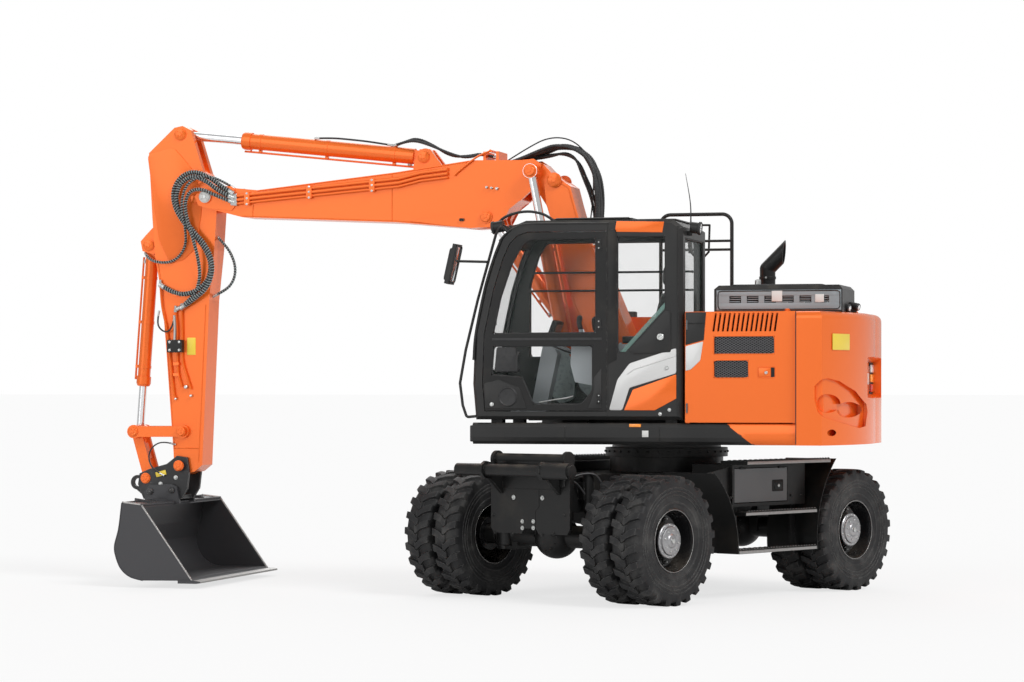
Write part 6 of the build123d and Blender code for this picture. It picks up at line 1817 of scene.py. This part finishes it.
    def rear(self) -> None:
        """The counterweight: plates, lamps, cameras, lifting eyes and panel joints."""
        s = Shape()
        for mirror in (1, -1):
            low, way = self.on_tail(0.99 * mirror, 0.001)
            n = np.array([*way, 0.0])
            u = np.cross(Z, n)
            s.slab(oblong(0.14, 0.068, 0.008), (*low, 2.175), u, Z, 0.004, 1, 0.001)
            for z, mat in ((1.96, 2), (1.875, 5), (1.79, 4)):
                s.slab(oblong(0.075, 0.034, 0.012), (-1.762, mirror * 0.325, z), -Y, Z, 0.02, mat, 0.006)
            s.slab(oblong(0.092, 0.14, 0.02), (-1.758, mirror * 0.325, 1.875), -Y, Z, 0.01, 3, 0.003)
            s.tube(arc((-1.56, mirror * 0.6, 2.428), 0.05, 0, 180, X, Z, 16), 0.012, 0, 10)
            s.bolt((-1.25, mirror * 1.0, 2.432), Z, 0.022, 0)
            s.tube([[-1.363, mirror * 1.246, 1.32], [-1.363, mirror * 1.246, 2.425]], 0.004, 3, 6)
        s.slab(oblong(0.24, 0.11, 0.02), (-1.758, 0, 1.87), -Y, Z, 0.008, 0, 0.003)
        s.slab(oblong(0.16, 0.05, 0.01), (-1.765, 0, 1.87), -Y, Z, 0.006, 6, 0.002)
        for y, z in ((0.46, 2.47), (0.7, 2.455)):
            point, _ = self.on_tail(y, -0.11)
            at = np.array([*point, z])
            s.block(at - [0.022, 0.022, 0.06], at + [0.022, 0.022, 0.0], 3, 0.005)
            s.lathe([(-0.055, 0), (-0.055, 0.03), (0.04, 0.034), (0.05, 0.028), (0.048, 0)], at + [0, 0, 0.018],
                unit((-1, 0.3, -0.25)), 3, 20)
            s.lathe([(0.049, 0.022), (0.054, 0.012), (0.055, 0)], at + [0, 0, 0.018], unit((-1, 0.3, -0.25)), 2, 16)
        piece(s, "counterweight_trim", "upper", (Finish.ORANGE, Finish.YELLOW, Finish.CLEAR, Finish.PLASTIC,
            Finish.RED_LENS, Finish.AMBER, Finish.WHITE))

    def skirts(self) -> None:
        """The orange tail of each skirt, drawn on its own bent section, and joints in the skirts."""
        s = Shape()
        section = [(-0.0275, 1.3115), (-0.0055, 1.337), (0.0005, 1.371), (0.0005, 1.46), (-0.0115, 1.484),
            (-0.0295, 1.4935)]
        for side in (-1, 1):
            rows = []
            for out, z in section:
                start = np.interp(z, [1.3, 1.48], [-1.01, -0.78])
                xs = np.linspace(-1.3585, start, 10)
                rows.append(np.c_[xs, np.full(10, side * (self.side + out + 0.002)), np.full(10, z)])
            back = [r - [0, side * 0.0045, 0] for r in rows[::-1]]
            s.grid(rows + back, around=False, along=True, ends=False)
            s.tube([[-0.786, side * (self.side - 0.004), 1.48], [-0.9, side * (self.side + 0.001), 1.39],
                [-1.005, side * (self.side - 0.02), 1.312]], 0.003, 1, 6)
            for x in (-0.2, 0.62):
                s.tube([[x, side * (self.side + 0.0005), 1.345], [x, side * (self.side + 0.0005), 1.465]], 0.002, 1, 6)
            for x in (-0.3, -0.12, 0.54, 0.7, 1.35):
                s.bolt((x, side * (self.side - 0.02), 1.326), unit((0, side, -0.8)), 0.008, 1)
        piece(s, "skirt_trim", "upper", (Finish.ORANGE, Finish.SATIN))

    def right(self) -> None:
        """The right side: seams, louvres, door handles, filler cap, grip tape and rail feet."""
        s, y = Shape(), -self.side
        for x in (-0.42, 0.2):
            s.tube([[x, y - 0.001, 1.5], [x, y - 0.001, 2.42]], 0.004, 1, 6)
        for rear, front, low, high in ((-1.2, -0.62, 2.06, 2.3), (-1.2, -0.62, 1.8, 1.98)):
            s.slab(quad(rear, front, low, high, 0.015), (0, y + 0.001, 0), X, Z, 0.005, 1, 0.002)
            for z in np.arange(low + 0.03, high - 0.01, 0.034):
                s.slab(quad(rear + 0.02, front - 0.02, z, z + 0.016), (0, y - 0.003, 0), X, Z, 0.01, 1, 0.004)
        for x in (-0.52, 0.12, 1.02):
            s.slab(quad(x - 0.05, x + 0.05, 1.768, 1.832, 0.012), (0, y + 0.001, 0), X, Z, 0.008, 2, 0.003)
            s.lathe(knob(0.012, 0.006), (x, y - 0.007, 1.8), -Y, 3, 16)
        s.lathe([(-0.01, 0.066), (0.045, 0.066), (0.052, 0.058), (0.052, 0)], (0.54, -0.9, 2.44), Z, 2, 40)
        for a in around(12):
            s.lathe([(0.0, 0.006), (0.046, 0.006), (0.046, 0)], (0.54 + 0.066 * np.cos(a), -0.9 + 0.066 * np.sin(a),
                2.44), Z, 2, 6)
        for x0, x1, y0, y1, z in ((-0.33, 0.26, -1.1, -0.6, 2.431), (0.8, 1.08, -1.15, -0.52, 1.951),
            (1.16, 1.33, -1.15, -0.52, 1.721)):
            s.slab(quad(x0, x1, y0, y1, 0.02), (0, 0, z - 0.001), X, Y, 0.005, 1, 0.002)
            for gx in np.arange(x0 + 0.03, x1 - 0.02, 0.045):
                for gy in np.arange(y0 + 0.03, y1 - 0.02, 0.06):
                    s.lathe([(0, 0.01), (0.004, 0.007), (0.004, 0)], (gx, gy, z + 0.003), Z, 1, 6)
        for x in (-0.375, 0.29):
            s.lathe([(0, 0.036), (0.008, 0.036), (0.012, 0.022), (0.04, 0.021), (0.04, 0.016)], (x, -1.1, 2.43), Z, 1,
                20)
        piece(s, "right_side_trim", "upper", (Finish.ORANGE, Finish.SATIN, Finish.PLASTIC, Finish.ZINC))

    def engine(self) -> None:
        """The engine behind its door: cover, ribs, injector lines, pulleys, filters and the loom."""
        s = Shape()
        s.slab(quad(-1.27, -0.58, -0.66, 0.56, 0.04), (0, 0, 2.328), X, Y, 0.05, 1, 0.015)
        for x in np.linspace(-1.2, -0.66, 6):
            s.block((x - 0.02, 0.6, 1.6), (x + 0.02, 0.64, 2.1), 0, 0.008)
            s.pipe([(x, 0.612, 2.16), (x, 0.66, 2.22), (x + 0.02, 0.64, 2.3), (x + 0.02, 0.5, 2.36)], 16, 0.008, 2, 8)
        for x, z, radius in ((-1.1, 1.74, 0.1), (-0.86, 1.68, 0.07), (-0.68, 1.8, 0.085)):
            s.lathe([(0, radius * 0.4), (0.05, radius * 0.5), (0.06, radius), (0.1, radius), (0.105, radius * 0.8),
                (0.12, radius * 0.8), (0.12, 0)], (x, 0.598, z), Y, 2, 36)
        for x in (-1.18, -1.02):
            s.lathe([(0, 0), (0, 0.052), (0.01, 0.056), (0.18, 0.056), (0.2, 0.04), (0.2, 0)], (x, 0.7, 1.86), Z, 3,
                28)
        s.pipe([(-1.22, 0.62, 2.12), (-1.1, 0.7, 2.14), (-0.9, 0.69, 2.1), (-0.72, 0.7, 2.15), (-0.6, 0.64, 2.1)], 60,
            0.018, 4, 10)
        piece(s, "engine_details", "upper", (Finish.ENGINE, Finish.SATIN, Finish.ZINC, Finish.WHITE, Finish.HOSE))

    def build(self) -> None:
        """Make every group of trim."""
        self.door()
        self.hood()
        self.rear()
        self.skirts()
        self.right()
        self.engine()


@dataclass
class Stack:
    """The exhaust's fittings on the deck."""

    def build(self) -> None:
        """Clamp rings round the vertical pipe."""
        s = Shape()
        for z in (2.52, 2.78):
            s.lathe([(-0.012, 0.069), (-0.012, 0.076), (0.012, 0.076), (0.012, 0.069)], (-0.778, -0.7, z), Z, 0, 40)
            s.bolt((-0.778, -0.622, z), Y, 0.009, 1, False)
        piece(s, "exhaust_clamps", "upper", (Finish.SATIN, Finish.ZINC))


# ---------------------------------------------------------------- undercarriage and bucket
@dataclass
class Undercarriage:
    """Bolts, plates, latches, bright step edges, ring bolts and lines of the undercarriage."""

    plate_x: float = 1.85
    bolts: tuple = (  # y, z, radius, finish
        (-0.18, 0.871, 0.013, 1), (0.137, 0.873, 0.013, 1), (-0.083, 0.672, 0.012, 1), (0.038, 0.675, 0.012, 1),
        (-0.083, 0.617, 0.012, 1), (0.038, 0.62, 0.012, 1), (-0.331, 0.986, 0.026, 0), (0.25, 0.993, 0.026, 0),
        (-0.408, 0.715, 0.011, 0), (-0.387, 0.57, 0.011, 0), (-0.198, 0.558, 0.011, 0), (0.131, 0.566, 0.011, 0),
        (0.257, 0.578, 0.011, 0), (0.379, 0.737, 0.011, 0),)
    box_side: float = 1.1
    step_side: float = 1.24
    axles: tuple[float, float] = (1.5, -1.1)

    def front(self, s: Shape) -> None:
        """The front plate's bolts, joints and blocks, and the lines behind it."""
        x = self.plate_x + 0.0005
        for y, z, radius, mat in self.bolts:
            s.bolt((x, y, z), X, radius, mat)
        for line in ([(-0.43, 0.945), (0.1, 0.945), (0.1, 0.8), (0.06, 0.76), (0.06, 0.56)],
            [(0.1, 0.945), (0.42, 0.945)]):
            s.tube([[x, y, z] for y, z in line], 0.0025, 2, 6)
        for y in (-0.36, 0.36):
            s.slab(oblong(0.03, 0.05, 0.01), (x, y, 1.02), Y, Z, 0.012, 0, 0.003)
        for side in (-1, 1):
            s.pipe([(1.72, side * 0.3, 1.03), (1.6, side * 0.36, 1.07), (1.5, side * 0.42, 1.06),
                (1.44, side * 0.46, 0.96)], 30, 0.012, 3, 10)
            s.pipe([(1.7, side * 0.26, 0.98), (1.62, side * 0.3, 1.0), (1.52, side * 0.36, 0.86),
                (1.42, side * 0.42, 0.7)], 30, 0.009, 3, 10)

    def sides(self, s: Shape) -> None:
        """Bright toothed step edges, studs, latches, lid hinges and box bolts."""
        for side in (-1, 1):
            y = side * self.step_side
            for level, thick, rear, front in ((1.172, 0.032, -0.74, 0.48), (0.74, 0.03, -0.535, 0.5),
                (0.42, 0.03, -0.535, 0.5955)):
                s.block((rear + 0.004, min(y, y + side * 0.003), level - thick + 0.003),
                    (front - 0.004, max(y, y + side * 0.003), level - 0.004), 4, 0.001)
                for x in np.arange(rear + 0.01, front - 0.03, 0.04):
                    s.block((x + 0.01, min(y - side * 0.011, y - side * 0.001), level + 0.008),
                        (x + 0.022, max(y - side * 0.011, y - side * 0.001), level + 0.0125), 4, 0.001)
            for level, inner in ((1.172, 0.96), (0.74, 1.01), (0.42, 1.01)):
                for x in np.arange(-0.49, 0.44, 0.075):
                    for yy in np.linspace(inner + 0.04, self.step_side - 0.05, 3):
                        s.lathe([(-0.001, 0.018), (0.004, 0.016), (0.005, 0.01), (0.001, 0.008)],
                            (x, side * yy, level), Z, 0, 10)
            y = side * self.box_side
            # A near-black plate behind each latch paints the shade of its recess.
            facing(s, quad(-0.225, -0.07, 0.9, 1.0), y - side * 0.001, 0.006, 2, 0.002, side, 0.012)
            facing(s, quad(-0.2, -0.095, 0.92, 0.98), y + side * 0.004, 0.006, 0, 0.002, side, 0.01)
            s.lathe([(0, 0.013), (0.006, 0.013), (0.008, 0.008), (0.008, 0)], (-0.148, y + side * 0.009, 0.95),
                (0, side, 0), 1, 16)
            for x in (-0.2, 0.36):
                s.block((x - 0.04, min(y, y + side * 0.008), 1.098), (x + 0.04, max(y, y + side * 0.008), 1.118), 0,
                    0.002)
            for x in (-0.5, -0.34, 0.5, 0.53):
                s.bolt((x, y, 0.86), (0, side, 0), 0.01, 0)

    def middle(self, s: Shape) -> None:
        """Bolts round the slewing ring, its teeth, the axles' housings' bolts, hoses and the shaft's joints."""
        for a in around(36):
            at = np.array([0.545 * np.cos(a), 0.545 * np.sin(a), 1.235])
            s.lathe([(-0.006, 0), (-0.006, 0.01), (0.004, 0.01), (0.004, 0)], at, unit((np.cos(a), np.sin(a), 0)), 0,
                6)
        for x in self.axles:
            for way in (-1, 1):
                for a in around(12):
                    out = np.array([way * 0.79, 0.61 * np.cos(a), 0.61 * np.sin(a)])
                    s.bolt(np.array([x, 0, 0.5375]) + 0.189 * out, out, 0.01, 0, False)
            for side in (-1, 1):
                s.pipe([(x + 0.1, side * 0.12, 0.64), (x + 0.11, side * 0.25, 0.668), (x + 0.1, side * 0.42, 0.65),
                    (x + 0.06, side * 0.5, 0.63)], 30, 0.007, 3, 8)
        for side in (-1, 1):
            for z in (0.8, 0.93):
                s.pipe([(-0.9, side * 0.286, z), (-0.4, side * 0.292, z - 0.02), (0.4, side * 0.292, z - 0.02),
                    (1.1, side * 0.288, z)], 40, 0.01, 3, 8)
            for x in (-0.7, -0.1, 0.5, 1.0):
                s.block((x - 0.02, min(side * 0.28, side * 0.306), 0.76), (x + 0.02, max(side * 0.28, side * 0.306),
                    0.95), 0, 0.003)

    def build(self) -> None:
        """One piece, fixed to the chassis."""
        s = Shape()
        self.front(s)
        self.sides(s)
        self.middle(s)
        piece(s, "undercarriage_fittings", "chassis", (Finish.SATIN, Finish.ZINC, Finish.DARK, Finish.HOSE,
            Finish.BRIGHT_EDGE), Place.TRAVEL)


@dataclass
class BucketEdges:
    """Worn bright edges, a centre seam, ribs and bolts of the grading bucket, and the coupler's bolts."""

    half: float = 1.0
    profile: tuple = ((4.135, 0.072), (4.6, 0.066), (4.72, 0.098), (4.805, 0.165), (4.852, 0.262), (4.87, 0.37),
        (4.83, 0.53), (4.8, 0.76), (4.62, 0.74))

    def build(self) -> None:
        """Strips a little proud of the bucket's edges."""
        s = Shape()
        left, right = BOOM_Y - self.half - 0.012, BOOM_Y + self.half + 0.012
        strip = [(4.0385, 0.0515), (4.079, 0.045), (4.115, 0.045), (4.115, 0.047), (4.08, 0.0475), (4.042, 0.054),
            (4.048, 0.065), (4.105, 0.0735), (4.105, 0.0755), (4.044, 0.0665)]
        s.grid([at_y(y, strip) for y in np.linspace(left - 0.001, right + 0.001, 40)])
        for side in (-1, 1):
            y = BOOM_Y + side * (self.half - 0.01)
            s.tube(even([(4.137, y, 0.074), (4.617, y, 0.742)], 24), 0.0105, 0, 8)
            s.tube(even([(4.617, y, 0.743), (4.8, y, 0.763)], 10), 0.0105, 0, 8)
            s.pipe(at_y(BOOM_Y + side * (self.half + 0.0005), self.profile[1:8]), 60, 0.005, 1, 6)
        s.pipe(at_y(BOOM_Y, self.profile[1:8]), 50, 0.007, 1, 6)
        s.tube(even([(4.617, BOOM_Y - self.half, 0.742), (4.617, BOOM_Y + self.half, 0.742)], 30), 0.01, 1, 8)
        s.tube(even([(4.79, BOOM_Y - self.half, 0.762), (4.79, BOOM_Y + self.half, 0.762)], 30), 0.007, 1, 8)
        for y in (-0.62, -0.32, 0.32, 0.62):
            s.slab([(4.64, 0.742), (4.798, 0.758), (4.826, 0.56), (4.846, 0.48), (4.858, 0.56), (4.828, 0.79),
                (4.64, 0.762)], (0, BOOM_Y + y + 0.008, 0), X, Z, 0.016, 1)
        for y in (-0.09, 0.09):
            s.bolt((4.7, BOOM_Y + y, 0.752), unit((-0.1, 0, 1)), 0.014, 2)
        piece(s, "bucket_edges", "bucket", (Finish.BRIGHT_EDGE, Finish.WORN, Finish.ZINC))
        coupler = Shape()
        for side in (-1, 1):
            y = BOOM_Y + side * 0.1725
            facing(coupler, [(4.7, 0.99), (4.8, 0.965), (4.812, 1.01), (4.712, 1.035)], y, 0.003, 0, 0.001, side,
                0.006)
            for x, z in ((4.61, 0.965), (4.87, 0.86), (4.76, 0.905)):
                coupler.bolt((x, y, z), (0, side, 0), 0.013, 1)
        piece(coupler, "coupler_plates", "bucket", (Finish.YELLOW, Finish.ZINC))


ASSEMBLIES: tuple = (Hoses, Wheels, Pins, Cylinders, BoomTrim, CabTrim, Seat, Interior, BodyTrim, Stack, Undercarriage,
                     BucketEdges)


def main() -> None:
    """Build the studio and every sub-assembly in order."""
    logging.basicConfig(level=logging.INFO, format="%(message)s")
    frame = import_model()
    Studio().build()
    dress_solids(frame["nodes"])
    for assembly in ASSEMBLIES:
        assembly().build()
        LOG.info("built %s", assembly.__name__)


if __name__ == "__main__":
    main()
